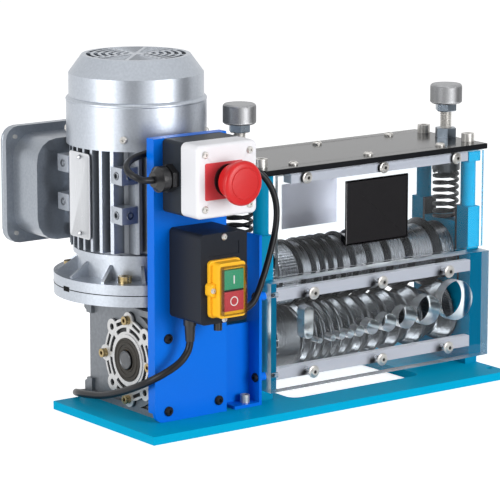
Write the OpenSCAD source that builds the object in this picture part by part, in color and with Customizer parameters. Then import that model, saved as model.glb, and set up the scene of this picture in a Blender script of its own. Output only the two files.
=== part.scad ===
// Electric wire stripping machine: a gear motor drives a grooved lower roller,
// a sprung bladed upper roller is geared to it, and wire is fed through a drilled panel.
// Millimetres. X runs along the rollers, Y to the back, Z up from the base underside.

/* [Base] */
// Thickness of the base plate
base_thickness = 8; // [6:1:12]
// Front to back depth of the base plate
base_depth = 168; // [160:4:200]
// Diameter of the two bench holes at the right end
mount_hole = 7; // [6:0.5:9]
// Distance between the two bench holes
mount_spacing = 126; // [110:2:140]

/* [Drive] */
// Diameter of the two mating drive flanges
flange_diameter = 160; // [152:2:164]
// Widest diameter of the fan cowl
cowl_diameter = 132.6; // [131:0.4:138]
// Number of cooling fins on each side of the motor
fin_count = 8; // [5:1:9]
// Number of teeth on each roller gear
gear_teeth = 31; // [26:1:34]
// Face width of the roller gears
gear_width = 10; // [7:0.5:10]

/* [Head] */
// Thickness of the clear feed panel
panel_thickness = 16.5; // [12:0.5:18]
// Height of the clear feed panel
panel_height = 106; // [104:1:108]
// Thickness of the clear upper windows
window_thickness = 4; // [3:0.5:5.5]
// Thickness of the top plate
lid_thickness = 5.5; // [4:0.5:8]
// Diameter of the largest feed hole
largest_hole = 40; // [36:0.5:40]

/* [Press] */
// Diameter of the hand knobs
knob_diameter = 32; // [26:1:38]
// Height of the hand knobs
knob_height = 22; // [16:1:26]
// Wire diameter of the press springs
spring_wire = 3.8; // [3:0.2:4]
// Outside diameter of the press springs
spring_outer = 27; // [26:0.5:28]

/* [Controls] */
// Side of the square stop box
stop_box = 68; // [64:1:72]
// Diameter of the stop mushroom
mushroom = 41; // [36:1:48]
// Width of the switch box
switch_width = 52; // [50:1:56]
// Diameter of the mains lead
lead_diameter = 7; // [6:0.2:7.6]

/* [Sheet] */
// Thickness of the upright cover plate
cover_sheet = 4; // [3:0.5:4.5]
// Thickness of the angle bracket
bracket_sheet = 3; // [2:0.5:3]

/* [Hidden] */
$fn = 48;
// Everything above the base rides up with its thickness.
lift = base_thickness - 8;
// Radial running clearance, seat clearance, and clearances for screws, slides and leads.
run_gap = 0.05;
seat_gap = 0.02;
screw_gap = 0.1;
slide_gap = 0.3;
lead_gap = 0.2;
// Base outline and waste opening.
base_left = -74;
// Drive axes: the output runs along X, the motor stands along Z.
drive_y = 8;
drive_z = 58;
motor_y = 48;
housing_back = 88;
cover_face = 39;
bracket_left = 45;
bracket_right = 76.5;
// Rollers.
roller_gap = 62;
upper_z = drive_z + roller_gap;
land = roller_gap / 2;
gear_module = roller_gap / gear_teeth;
body_left = 109.5;
// Head frame.
left_x = 91;
right_x = 348;
side_half = 7.5;
// Room between a side plate and the roller face, and the edge of the base beside it.
roller_room = 4.5;
base_edge = 0.5;
body_right = right_x - side_half - roller_room;
base_right = right_x + side_half + base_edge;
mount_x = right_x;
// Places along the rollers follow the distance between the side plates.
drawn_span = 257;
feed_scale = (right_x - left_x) / drawn_span;
function along(x) = left_x + x * feed_scale;
band_left = along(26);
band_right = along(47.6);
head_half = 43.5;
slot_half = 26.5;
liner = 3;
slot_floor = 89;
leg_top = 168;
block_bottom = 213.7;
block_top = 227.2;
lid_top = block_top + lid_thickness;
post_offset = 34;
front_y = drive_y - head_half;
panel_front = front_y - panel_thickness;
panel_bottom = 19;
panel_top = panel_bottom + panel_height;
window_front = -38;
window_back = 54;
// Feed holes from left to right, all with one common bottom.
hole_x = [for (x = [52, 67.8, 78.7, 88.9, 100.5, 116.5, 136.9, 159.6, 186.8, 223.5]) along(x)];
hole_d = [for (d = [5.5, 6.5, 7.5, 8.5, 10.7, 14.7, 18, 22.4, 29.5, largest_hole]) d * min(feed_scale, 1)];
hole_bottom = 59.5;
hole_last = len(hole_x) - 1;
// Press column.
screw_r = 6;
pitch = 1.75;
slider_top = 151;
cup_bottom = 200;
cup_top = 208;
knob_bottom = 267;
// Control boxes.
sheet_front = -42 - cover_sheet;
stop_x = -2;
stop_z = 240.7;
stop_split = sheet_front - 29;
stop_front = sheet_front - 53.5;
cowl_screw_z = 268;
cowl_screw_reach = 14.3;
screw_past = 3.7;
stop_left = stop_x - stop_box / 2;
stop_right = stop_x + stop_box / 2;
switch_x = -3;
switch_left = switch_x - switch_width / 2;
switch_right = switch_x + switch_width / 2;
switch_front = sheet_front - 49.5;
switch_bottom = 107.6;
switch_top = 191.5;
surround_front = switch_front - 15;
surround_x = -4.5;
start_z = 151;
stop_button_z = 131;
key_wide = 22.5;
key_high = 18.4;
ear_screw = 17.3;
box_screw_low = 111;
lead_r = lead_diameter / 2;
gland_x = 60;
gland_z = 216.5;
gland_y = sheet_front - 14.5;

// Shared shapes.
module raise() {
    translate([0, 0, lift])
        children();
}

// A round bar along X, Y or Z between two stations.
module bar_x(x0, x1, y, z, r) {
    translate([x0, y, z])
        rotate([0, 90, 0])
            cylinder(h = x1 - x0, r = r);
}

module bar_y(y0, y1, x, z, r) {
    translate([x, y0, z])
        rotate([-90, 0, 0])
            cylinder(h = y1 - y0, r = r);
}

module bar_z(z0, z1, x, y, r) {
    translate([x, y, z0])
        cylinder(h = z1 - z0, r = r);
}

// A box between two corners.
module box(a, b) {
    translate(a)
        cube(b - a);
}

// A flat outline drawn in YZ, XZ or XY and given thickness along the third axis.
module slab_x(x0, x1, outline) {
    translate([x0, 0, 0])
        rotate([90, 0, 90])
            linear_extrude(height = x1 - x0)
                polygon(outline);
}

module slab_y(y0, y1, outline) {
    translate([0, y1, 0])
        rotate([90, 0, 0])
            linear_extrude(height = y1 - y0)
                polygon(outline);
}

module slab_z(z0, z1, outline) {
    translate([0, 0, z0])
        linear_extrude(height = z1 - z0)
            polygon(outline);
}

// Outline of a rectangle with rounded corners between two corner points.
function arc(c, r, a) = [for (k = [0:4]) [c[0] + r * cos(a + k * 22.5), c[1] + r * sin(a + k * 22.5)]];
function rounded(a, b, r) = concat(
    arc([b[0] - r, b[1] - r], r, 0),
    arc([a[0] + r, b[1] - r], r, 90),
    arc([a[0] + r, a[1] + r], r, 180),
    arc([b[0] - r, a[1] + r], r, 270));

// A socket cap screw seated at the origin, head up and shank down.
module cap_screw(head_r, head_h, shank_r, length) {
    difference() {
        union() {
            cylinder(h = head_h, r = head_r);
            translate([0, 0, -length])
                cylinder(h = length + 0.5, r = shank_r);
        }
        translate([0, 0, head_h * 0.4])
            cylinder(h = head_h, r = head_r * 0.5, $fn = 6);
    }
}

// A low domed button screw made of two steps, seated like the cap screw.
module button_screw(head_r, head_h, shank_r, length) {
    difference() {
        union() {
            cylinder(h = head_h * 0.5, r = head_r);
            translate([0, 0, head_h * 0.5])
                cylinder(h = head_h * 0.5, r1 = head_r, r2 = head_r * 0.7);
            translate([0, 0, -length])
                cylinder(h = length + 0.5, r = shank_r);
        }
        translate([0, 0, head_h * 0.45])
            cylinder(h = head_h, r = head_r * 0.42, $fn = 6);
    }
}

// A solid turned about the X axis from a list of [radius, station] corners.
module turned_x(y, z, corners) {
    translate([0, y, z])
        rotate([0, 90, 0])
            rotate_extrude()
                polygon(corners);
}

// Involute gear outline with one tooth centred at the given angle.
function involute(r, base_r) = r <= base_r ? 0 : tan(acos(base_r / r)) * 180 / PI - acos(base_r / r);
function flank(r, pitch_r, base_r, half) = half + involute(pitch_r, base_r) - involute(r, base_r);
function tooth(c, radii, pitch_r, base_r, half) = concat(
    [for (r = radii) let (a = c - flank(r, pitch_r, base_r, half)) [r * cos(a), r * sin(a)]],
    [for (k = [len(radii) - 1:-1:0]) let (r = radii[k], a = c + flank(r, pitch_r, base_r, half))
        [r * cos(a), r * sin(a)]]);
function gear_outline(start) = let (
    pitch_r = gear_module * gear_teeth / 2,
    base_r = pitch_r * cos(20),
    root_r = pitch_r - 1.25 * gear_module,
    tip_r = pitch_r + gear_module,
    half = 90 / gear_teeth - 0.2 / pitch_r * 180 / PI,
    radii = [root_r, base_r + 0.05, pitch_r - 0.4 * gear_module, pitch_r + 0.4 * gear_module, tip_r])
    [for (i = [0:gear_teeth - 1]) each tooth(start + i * 360 / gear_teeth, radii, pitch_r, base_r, half)];

module gear(y, z, start, bore_r) {
    difference() {
        translate([body_left - gear_width, y, z])
            rotate([90, 0, 90])
                linear_extrude(height = gear_width)
                    polygon(gear_outline(start));
        bar_x(body_left - gear_width - 1, body_left + 1, y, z, bore_r);
    }
}

// A round tube swept along a list of points, closed at both ends.
function unit(v) = v / norm(v);
function heading(p, i) = unit(p[min(i + 1, len(p) - 1)] - p[max(i - 1, 0)]);
function across(n, t) = unit(n - (n * t) * t);
function side_start(t) = across(abs(t[2]) < 0.8 ? [0, 0, 1] : [1, 0, 0], t);
function sides(p) = [for (i = 0, n = side_start(heading(p, 0)); i < len(p);
    i = i + 1, n = i < len(p) ? across(n, heading(p, i)) : n) n];
function ring(c, t, n, r, k) = let (b = cross(t, n))
    [for (j = [0:k - 1]) c + r * (cos(j * 360 / k) * n + sin(j * 360 / k) * b)];
module tube(p, r, k) {
    n = sides(p);
    last = len(p) - 1;
    points = [for (i = [0:last]) each ring(p[i], heading(p, i), n[i], r, k)];
    skin = [for (i = [0:last - 1], j = [0:k - 1])
        each [[i * k + j, (i + 1) * k + j, (i + 1) * k + (j + 1) % k],
            [i * k + j, (i + 1) * k + (j + 1) % k, i * k + (j + 1) % k]]];
    near = [for (j = [0:k - 1]) j];
    far = [for (j = [k - 1:-1:0]) last * k + j];
    polyhedron(points = points, faces = concat(skin, [near], [far]));
}

// A smooth path through the given points, cut into steps between each pair.
function blend(a, b, c, d, t) = 0.5 * ((2 * b) + (c - a) * t + (2 * a - 5 * b + 4 * c - d) * t * t
    + (3 * b - a - 3 * c + d) * t * t * t);
function smooth(p, steps) = let (last = len(p) - 1) concat(
    [for (i = [0:last - 1], s = [0:steps - 1])
        blend(p[max(i - 1, 0)], p[i], p[i + 1], p[min(i + 2, last)], s / steps)],
    [p[last]]);

// Base plate with the waste opening under the rollers and two bench holes.
module base_plate() {
    color([0, 0.5, 0.68])
        difference() {
            box([base_left, -base_depth / 2, 0], [base_right, base_depth / 2, base_thickness]);
            slab_z(-1, base_thickness + 1, rounded([along(24), -45], [along(184), 60], 10));
            for (s = [-1, 1])
                bar_z(-1, base_thickness + 1, mount_x, s * mount_spacing / 2, mount_hole / 2);
        }
}

// Cast housing with the wheel bore along X and the worm bore along Z.
module gearbox_housing() {
    color([0.72, 0.73, 0.74])
        raise()
            difference() {
                union() {
                    slab_x(-31, 31, [[-38, 8], [housing_back - 3.5, 8], [housing_back - 3.5, 108], [-38, 108]]);
                    bar_x(-35, 35, drive_y, drive_z, 46);
                    slab_x(-35, 35, [[-42, 8], [housing_back, 8], [housing_back, 22], [housing_back - 3.5, 24],
                        [housing_back - 3.5, 26], [housing_back - 12, 26], [housing_back - 12, 14], [-36, 14], [-36, 102],
                        [housing_back - 12, 102], [housing_back - 12, 90], [housing_back - 3.5, 90], [housing_back - 3.5, 92],
                        [housing_back, 94], [housing_back, 108], [-42, 108]]);
                }
                bar_x(-36, 36, drive_y, drive_z, 33);
                bar_z(26, 109, 0, motor_y, 14);
                bar_z(16, 27, 0, motor_y, 7 + run_gap);
                for (side = [-1, 1], a = [0, 90, 180, 270])
                    bar_x(side < 0 ? -36 : 22, side < 0 ? -22 : 36, drive_y + 38 * cos(a),
                        drive_z + 38 * sin(a), 2.5 + screw_gap);
                for (p = [[-31, 87], [-31, 18], [26.5, 20]])
                    bar_y(-43, -30, p[0], p[1], 2.5 + screw_gap);
            }
}

// Lobed bearing covers on both sides.
module gearbox_cover() {
    difference() {
        union() {
            bar_x(35, cover_face, 0, 0, 39);
            for (a = [0:45:315])
                bar_x(35, cover_face, 38 * cos(a), 38 * sin(a), 7.6);
            bar_x(35, cover_face + 1, 0, 0, 24);
        }
        bar_x(34, 42, 0, 0, 16 + run_gap);
        for (a = [0:90:270])
            bar_x(34, 42, 38 * cos(a), 38 * sin(a), 2.5 + screw_gap);
        for (a = [45:90:315])
            bar_x(34, 42, 38 * cos(a), 38 * sin(a), 3.2);
        for (a = [22.5:45:337.5])
            rotate([a, 0, 0])
                box([36.5, -6.5, 33], [42, 6.5, 36.5]);
        difference() {
            bar_x(36.5, 42, 0, 0, 30.5);
            bar_x(36, 43, 0, 0, 26.5);
            for (a = [0:45:135])
                rotate([a, 0, 0])
                    box([36, -2.5, -32], [43, 2.5, 32]);
        }
    }
}

module gearbox_covers() {
    color([0.76, 0.77, 0.78])
        raise()
            for (turn = [0, 180])
                translate([0, drive_y, drive_z])
                    rotate([0, 0, turn])
                        gearbox_cover();
}

// Worm wheel with its hollow output hub.
module worm_wheel() {
    color([0.7, 0.55, 0.3])
        raise()
            difference() {
                union() {
                    bar_x(-cover_face, cover_face, drive_y, drive_z, 16);
                    bar_x(-10, 10, drive_y, drive_z, 29.5);
                }
                bar_x(-40, 40, drive_y, drive_z, 9 + seat_gap);
            }
}

// Gearbox input flange on its short neck.
module gearbox_flange() {
    color([0.76, 0.77, 0.78])
        raise()
            difference() {
                union() {
                    bar_z(108, 113.4, 0, motor_y, 40);
                    bar_z(113.4, 124, 0, motor_y, flange_diameter / 2);
                }
                bar_z(107, 125, 0, motor_y, 14);
                for (a = [45:90:315])
                    bar_z(107, 125, 65 * cos(a), motor_y + 65 * sin(a), 4 + screw_gap);
            }
}

// Motor flange with the ribbed end bell above it.
module motor_flange() {
    color([0.74, 0.75, 0.77])
        raise()
            difference() {
                union() {
                    bar_z(124, 134, 0, motor_y, flange_diameter / 2);
                    bar_z(134, 154, 0, motor_y, 57);
                    bar_z(153, 158, 0, motor_y, 61);
                    translate([0, motor_y, 0])
                        for (a = [0:30:330])
                            rotate([0, 0, a])
                                slab_y(-1.5, 1.5, [[50, 133], [76, 133], [76, 135.5], [57, 148], [50, 148]]);
                }
                bar_z(123, 159, 0, motor_y, 7 + run_gap);
                for (a = [45:90:315])
                    bar_z(123, 135, 65 * cos(a), motor_y + 65 * sin(a), 4 + screw_gap);
                for (a = [45:90:315])
                    bar_z(134, 142, 65 * cos(a), motor_y + 65 * sin(a), 8);
            }
}

// One radial screw hole of the fan cowl.
module cowl_screw_hole() {
    bar_x(cowl_diameter / 2 - cowl_screw_reach, cowl_diameter / 2 + screw_past, 0, cowl_screw_z, 1.9 + screw_gap);
}

// Finned motor body with four foot bosses in two rows and the terminal pad behind.
module motor_body() {
    fin_step = 72 / (fin_count - 1);
    color([0.74, 0.75, 0.77])
        raise()
            difference() {
                translate([0, motor_y, 0])
                    union() {
                        bar_z(158, 258, 0, 0, 55);
                        intersection() {
                            bar_z(158, 258, 0, 0, 64);
                            union() {
                                for (k = [0:fin_count - 1]) {
                                    box([-66, -36 + k * fin_step - 1.4, 160], [66, -36 + k * fin_step + 1.4, 257]);
                                    box([-36 + k * fin_step - 1.4, -66, 160], [-36 + k * fin_step + 1.4, 66, 257]);
                                }
                            }
                        }
                        for (a = [0:90:270], z = [190, 227])
                            rotate([0, 0, a])
                                box([36, 36, z], [54, 54, z + 16]);
                        box([-34, 40, 172], [34, 64, 243]);
                        bar_z(257, 262, 0, 0, cowl_diameter / 2);
                        bar_z(262, 274, 0, 0, cowl_diameter / 2 - 2 - screw_gap);
                    }
                bar_z(157, 252, 0, motor_y, 30);
                bar_z(251, 275, 0, motor_y, 7 + run_gap);
                for (a = [0:90:270], z = [198, 235])
                    translate([0, motor_y, 0])
                        rotate([0, 0, a])
                            bar_x(46, 56, 45, z, 4);
                for (a = [45:90:315])
                    translate([0, motor_y, 0])
                        rotate([0, 0, a])
                            cowl_screw_hole();
            }
}

// Rotor, shaft and worm in one turned piece.
module motor_rotor() {
    color([0.6, 0.6, 0.62])
        raise()
            union() {
                bar_z(18, 300, 0, motor_y, 7);
                bar_z(32, 84, 0, motor_y, 10);
                bar_z(168, 248, 0, motor_y, 29.5);
                bar_z(274.5, 277, 0, motor_y, 10);
            }
}

// Radial fan on the top of the rotor shaft.
module motor_fan() {
    color([0.2, 0.2, 0.22])
        raise()
            translate([0, motor_y, 0])
                difference() {
                    union() {
                        bar_z(277, 296, 0, 0, 13);
                        bar_z(277, 279.5, 0, 0, 54);
                        for (a = [0:45:315])
                            rotate([0, 0, a])
                                box([11, -1.2, 279], [53, 1.2, 294]);
                    }
                    bar_z(276, 297, 0, 0, 7 + seat_gap);
                }
}

// Fan cowl with a stepped side and a ring grille in the top.
module motor_cowl() {
    r = cowl_diameter / 2;
    color([0.7, 0.71, 0.73])
        raise()
            translate([0, motor_y, 0])
                union() {
                    difference() {
                        rotate_extrude()
                            polygon([[r - 2, 262], [r, 262], [r, 298], [r - 2.4, 298], [r - 2.4, 323],
                                [51.5, 340], [0, 340], [0, 338], [50.3, 338], [r - 4.4, 322], [r - 4.4, 296],
                                [r - 2, 296]]);
                        for (k = [0:5])
                            translate([0, 0, 337])
                                difference() {
                                    cylinder(h = 4, r = 12 + 7 * k);
                                    translate([0, 0, -1])
                                        cylinder(h = 6, r = 8 + 7 * k);
                                }
                        for (a = [45:90:315])
                            rotate([0, 0, a])
                                cowl_screw_hole();
                    }
                    for (a = [0:45:135])
                        rotate([0, 0, a])
                            box([-49, -1.5, 338], [49, 1.5, 340]);
                }
}

// Gold screws of the gearbox covers and the flanges, and the small cowl screws.
module drive_screws() {
    color([0.75, 0.6, 0.3])
        raise() {
            for (side = [-90, 90], a = [0:90:270])
                translate([side < 0 ? -cover_face : cover_face, drive_y + 38 * cos(a), drive_z + 38 * sin(a)])
                    rotate([0, side, 0])
                        cap_screw(4.2, 5, 2.5, 14);
            translate([0, motor_y, 0])
                for (a = [45:90:315])
                    rotate([0, 0, a]) {
                        translate([65, 0, 134])
                            cap_screw(6.5, 6, 4, 20);
                    }
        }
}

// Terminal box behind the motor and its lid.
module terminal_box() {
    color([0.66, 0.67, 0.69])
        raise()
            difference() {
                union() {
                    slab_y(112, 156, rounded([-71, 158], [71, 256], 22));
                    slab_y(154, 160, rounded([-79, 150], [79, 264], 14));
                }
                slab_y(117, 161, rounded([-64, 165], [64, 249], 16));
                for (x = [-69, 69], z = [160, 254])
                    bar_y(150, 161, x, z, 2 + screw_gap);
                bar_y(111, 118, gland_x, gland_z, 5);
            }
}

module terminal_lid() {
    color([0.66, 0.67, 0.69])
        raise()
            difference() {
                union() {
                    slab_y(160, 164, rounded([-79, 150], [79, 264], 14));
                    slab_y(163, 168, rounded([-62, 166], [62, 248], 16));
                }
                for (x = [-69, 69], z = [160, 254])
                    bar_y(150, 165, x, z, 2 + screw_gap);
            }
}

// Upright cover plate with a return along its left edge and a hem at the top.
module cover_plate() {
    color([0, 0.42, 0.9])
        raise()
            difference() {
                union() {
                    slab_y(sheet_front, -42, [[-37, 8], [36, 8], [36, 275], [-46, 275], [-46, 17],
                        [-45.3, 13.5], [-43.4, 10.6], [-40.5, 8.7]]);
                    box([-46, -42.5, 17], [-46 + cover_sheet, -35, 275]);
                    box([-46, -42.5, 275 - cover_sheet], [36, -35, 275]);
                }
                for (p = [[-31, 87], [-31, 18], [26.5, 20]])
                    bar_y(sheet_front - 1, -41, p[0], p[1], 2.5 + screw_gap);
            }
}

// Angle bracket between the cover plate and the roller head, with two standoffs to the feed panel.
module bracket_plate() {
    color([0, 0.42, 0.9])
        raise()
            difference() {
                union() {
                    box([bracket_left, -27 - bracket_sheet, 8], [bracket_right, -27, 86]);
                    box([bracket_right - bracket_sheet, -47, 8], [bracket_right, -27, 172]);
                    box([bracket_left, -47, 8], [bracket_right, -27, 8 + bracket_sheet]);
                    for (z = [34, 112])
                        bar_x(bracket_right - 1, left_x - side_half, -41, z, 4);
                }
                bar_z(7, 8 + bracket_sheet + 1, 63, -38, 2.5 + screw_gap);
                for (z = [34, 112])
                    bar_x(bracket_right - 4, left_x, -41, z, 2.5 + screw_gap);
            }
}

// Black screws of the cover plate and the bracket.
module cover_screws() {
    color([0.12, 0.12, 0.13])
        raise() {
            for (p = [[-31, 87], [-31, 18], [26.5, 20]])
                translate([p[0], sheet_front, p[1]])
                    rotate([90, 0, 0])
                        button_screw(4.6, 2.8, 2.5, 10);
            translate([63, -38, 8 + bracket_sheet])
                cap_screw(4.4, 4, 2.5, bracket_sheet);
            for (z = [34, 112])
                translate([bracket_right - bracket_sheet, -41, z])
                    rotate([0, -90, 0])
                        button_screw(4.4, 2.6, 2.5, bracket_sheet + 16);
        }
}

// Stop box: black base, pale cover, collar, sliding stem and turning mushroom.
module stop_outline(y0, y1, r) {
    slab_y(y0, y1, rounded([stop_left, stop_z - stop_box / 2], [stop_right, stop_z + stop_box / 2], r));
}

module estop_base() {
    color([0.16, 0.17, 0.2])
        raise()
            difference() {
                stop_outline(stop_split, sheet_front, 4);
                bar_y(stop_split - 1, sheet_front - 3, stop_x, stop_z, 27);
                for (x = [-25, 25], z = [-25, 25])
                    bar_y(stop_split - 1, stop_split + 10, stop_x + x, stop_z + z, 1.9 + screw_gap);
                bar_x(stop_left - 1, stop_left + 10, gland_y, stop_z, 4);
                bar_x(stop_right - 10, stop_right + 1, gland_y, stop_z + 3, 3 + lead_gap);
            }
}

module estop_cover() {
    color([0.93, 0.93, 0.92])
        raise()
            difference() {
                stop_outline(stop_front, stop_split, 4);
                bar_y(stop_front + 3, stop_split + 1, stop_x, stop_z, 27);
                bar_y(stop_front - 1, stop_front + 4, stop_x, stop_z, 11);
                for (x = [-25, 25], z = [-25, 25])
                    bar_y(stop_front - 1, stop_split + 1, stop_x + x, stop_z + z, 1.9 + screw_gap);
            }
}

module estop_collar() {
    color([0.15, 0.15, 0.16])
        raise()
            difference() {
                union() {
                    bar_y(stop_front - 2.2, stop_front, stop_x, stop_z, 15);
                    bar_y(stop_front - 1, stop_front + 3, stop_x, stop_z, 11 - seat_gap);
                }
                bar_y(stop_front - 4, stop_front + 4, stop_x, stop_z, 9 + run_gap);
            }
}

module estop_stem() {
    color([0.8, 0.2, 0.2])
        raise()
            union() {
                bar_y(stop_front - 7.5, stop_front + 20, stop_x, stop_z, 9);
                bar_y(stop_front - 20, stop_front - 7, stop_x, stop_z, 7);
                bar_y(stop_front + 8, stop_front + 20, stop_x, stop_z, 14);
            }
}

module estop_button() {
    r = mushroom / 2;
    color([0.92, 0.24, 0.24])
        raise()
            translate([stop_x, stop_front - 7.5, stop_z])
                rotate([90, 0, 0])
                    difference() {
                        rotate_extrude()
                            polygon([[0, 0], [r * 0.62, 0], [r * 0.7, 3], [r * 0.72, 8], [r * 0.8, 10.5],
                                [r, 13], [r, 16.5], [r * 0.94, 18.3], [r * 0.8, 19.3], [r * 0.55, 19.8],
                                [0, 20]]);
                        translate([0, 0, -1])
                            cylinder(h = 13.5, r = 7 + run_gap);
                    }
}

// Cable glands and grommets where the leads enter the boxes.
module gland(bore_r, size) {
    difference() {
        scale(size)
            union() {
                cylinder(h = 6.5, r = 13, $fn = 6);
                translate([0, 0, 6.5])
                    cylinder(h = 2, r = 10);
                translate([0, 0, 8.5])
                    cylinder(h = 7.5, r = 12);
                translate([0, 0, 16])
                    cylinder(h = 5, r1 = 11.4, r2 = 7);
            }
        translate([0, 0, 2])
            cylinder(h = 20, r = bore_r);
    }
}

module cable_glands() {
    color([0.1, 0.1, 0.11])
        raise() {
            translate([stop_left, gland_y, stop_z])
                rotate([0, -90, 0])
                    gland(3.25 + lead_gap, 1);
            translate([gland_x, 112, gland_z])
                rotate([90, 0, 0])
                    gland(3.25 + lead_gap, 0.7);
            translate([-19, -64, switch_bottom])
                rotate([180, 0, 0])
                    difference() {
                        union() {
                            cylinder(h = 6, r = 6);
                            translate([0, 0, 6])
                                cylinder(h = 15, r1 = 5.2, r2 = lead_r + 0.7);
                        }
                        translate([0, 0, 2])
                            cylinder(h = 23, r = lead_r + lead_gap);
                    }
            bar_z(95, switch_bottom, 7, -72, 4);
        }
}

// Small screws of the stop cover, the switch box, its surround, the terminal lid and the cowl.
module box_screws() {
    color([0.75, 0.76, 0.78])
        raise() {
            for (x = [-25, 25], z = [-25, 25])
                translate([stop_x + x, stop_front, stop_z + z])
                    rotate([90, 0, 0])
                        button_screw(3.4, 2, 1.9, 32);
            for (z = [box_screw_low, 187.5])
                translate([switch_x, switch_front, z])
                    rotate([90, 0, 0])
                        button_screw(3, 1.8, 1.9, 20);
            for (x = [-ear_screw, ear_screw])
                translate([surround_x + x, surround_front + 6, (start_z + stop_button_z) / 2])
                    rotate([90, 0, 0])
                        button_screw(2.6, 1.6, 1.5, 9);
            for (x = [-69, 69], z = [160, 254])
                translate([x, 164, z])
                    rotate([-90, 0, 0])
                        button_screw(4, 2.4, 2, 12);
            for (a = [45:90:315])
                translate([0, motor_y, 0])
                    rotate([0, 0, a])
                        translate([cowl_diameter / 2, 0, cowl_screw_z])
                            rotate([0, 90, 0])
                                button_screw(3.6, 2.4, 1.9, 8);
        }
}

// Switch box with a bare recess above the push buttons.
module switch_box() {
    color([0.17, 0.19, 0.23])
        raise()
            difference() {
                slab_y(switch_front, sheet_front, rounded([switch_left, switch_bottom],
                    [switch_right, switch_top], 4));
                box([switch_x - 20.5, switch_front + 3, 116], [switch_x + 20.5, sheet_front + 1, 183]);
                box([switch_x - 16, switch_front - 1, 170.5], [switch_x + 17, switch_front + 0.8, 182.5]);
                box([surround_x - key_wide / 2 - 0.5, switch_front - 1, stop_button_z - key_high / 2 - 0.5],
                    [surround_x + key_wide / 2 + 0.5, switch_front + 4, start_z + key_high / 2 + 0.5]);
                for (z = [box_screw_low, 187.5])
                    bar_y(switch_front - 1, switch_front + 21, switch_x, z, 1.9 + screw_gap);
                for (x = [-ear_screw, ear_screw])
                    bar_y(switch_front - 1, switch_front + 4, surround_x + x, (start_z + stop_button_z) / 2,
                        1.5 + screw_gap);
                bar_x(switch_right - 4, switch_right + 1, -82, 113, 3 + lead_gap);
            }
}

// Yellow surround that guides the two buttons.
module switch_surround() {
    mid_z = (start_z + stop_button_z) / 2;
    color([0.97, 0.72, 0.15])
        raise()
            difference() {
                union() {
                    slab_y(surround_front, switch_front, rounded([surround_x - 14.5, mid_z - 25.5],
                        [surround_x + 14.5, mid_z + 25.5], 3));
                    slab_y(switch_front - 4, switch_front, rounded([surround_x - 17.5, mid_z - 26.5],
                        [surround_x + 17.5, mid_z + 26.5], 4));
                    slab_y(surround_front + 6, switch_front, rounded([surround_x - 20, mid_z - 6],
                        [surround_x + 20, mid_z + 6], 3));
                }
                for (z = [start_z, stop_button_z])
                    box([surround_x - key_wide / 2 - slide_gap, surround_front - 1, z - key_high / 2 - slide_gap],
                        [surround_x + key_wide / 2 + slide_gap, switch_front + 1, z + key_high / 2 + slide_gap]);
                for (x = [-ear_screw, ear_screw])
                    bar_y(surround_front - 1, switch_front + 1, surround_x + x, mid_z, 1.5 + screw_gap);
            }
}

// Push buttons, each kept in by a wider foot behind the front wall.
module push_button(z) {
    union() {
        box([surround_x - key_wide / 2, surround_front - 2.5, z - key_high / 2],
            [surround_x + key_wide / 2, switch_front + 6, z + key_high / 2]);
        box([surround_x - key_wide / 2 - 2, switch_front + 3, z - key_high / 2],
            [surround_x + key_wide / 2 + 2, switch_front + 6, z + key_high / 2]);
    }
}

module start_button() {
    color([0.3, 0.7, 0.55])
        raise()
            push_button(start_z);
}

module stop_button() {
    color([0.92, 0.38, 0.4])
        raise()
            push_button(stop_button_z);
}

// Side plates, each a fork that carries the fixed bearing below and a slider above.
module side_plate(x, out) {
    difference() {
        slab_x(x - side_half, x + side_half, [[drive_y - head_half, 8], [drive_y + head_half, 8],
            [drive_y + head_half, leg_top], [drive_y + slot_half, leg_top], [drive_y + slot_half, slot_floor],
            [drive_y - slot_half, slot_floor], [drive_y - slot_half, leg_top], [drive_y - head_half, leg_top]]);
        bar_x(x - 5.5 + (out < 0 ? 0 : -3), x + 5.5 + (out < 0 ? 3 : 0), drive_y, drive_z, 21 + seat_gap);
        bar_x(x - 9, x + 9, drive_y, drive_z, 17);
        for (s = [-1, 1])
            bar_z(leg_top - 10, leg_top + 1, x, drive_y + s * post_offset, 4 + screw_gap);
    }
}

module left_side_plate() {
    color([0, 0.62, 0.8])
        raise()
            side_plate(left_x, -1);
}

module right_side_plate() {
    color([0, 0.62, 0.8])
        raise()
            side_plate(right_x, 1);
}

// Dark liners on both flanks of each fork slot.
module guide_liners() {
    color([0.14, 0.15, 0.17])
        raise()
            for (x = [left_x, right_x], s = [-1, 1])
                translate([x - side_half, drive_y + s * (slot_half - liner / 2) - liner / 2, slot_floor])
                    cube([2 * side_half, liner, leg_top - slot_floor]);
}

// Ball bearings with a shallow recess for the shields.
module bearing(x0, x1, z, bore_r, outer_r) {
    mid = (bore_r + outer_r) / 2;
    difference() {
        bar_x(x0, x1, drive_y, z, outer_r);
        bar_x(x0 - 1, x1 + 1, drive_y, z, bore_r + run_gap);
        for (x = [x0, x1])
            difference() {
                bar_x(x - 0.6, x + 0.6, drive_y, z, mid + 3);
                bar_x(x - 1, x + 1, drive_y, z, mid - 3);
            }
    }
}

module lower_bearings() {
    color([0.8, 0.8, 0.82])
        raise() {
            bearing(left_x - 5.5, left_x + 6.5, drive_z, 10, 21);
            bearing(right_x - 6.5, right_x + 5.5, drive_z, 10, 21);
        }
}

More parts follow.
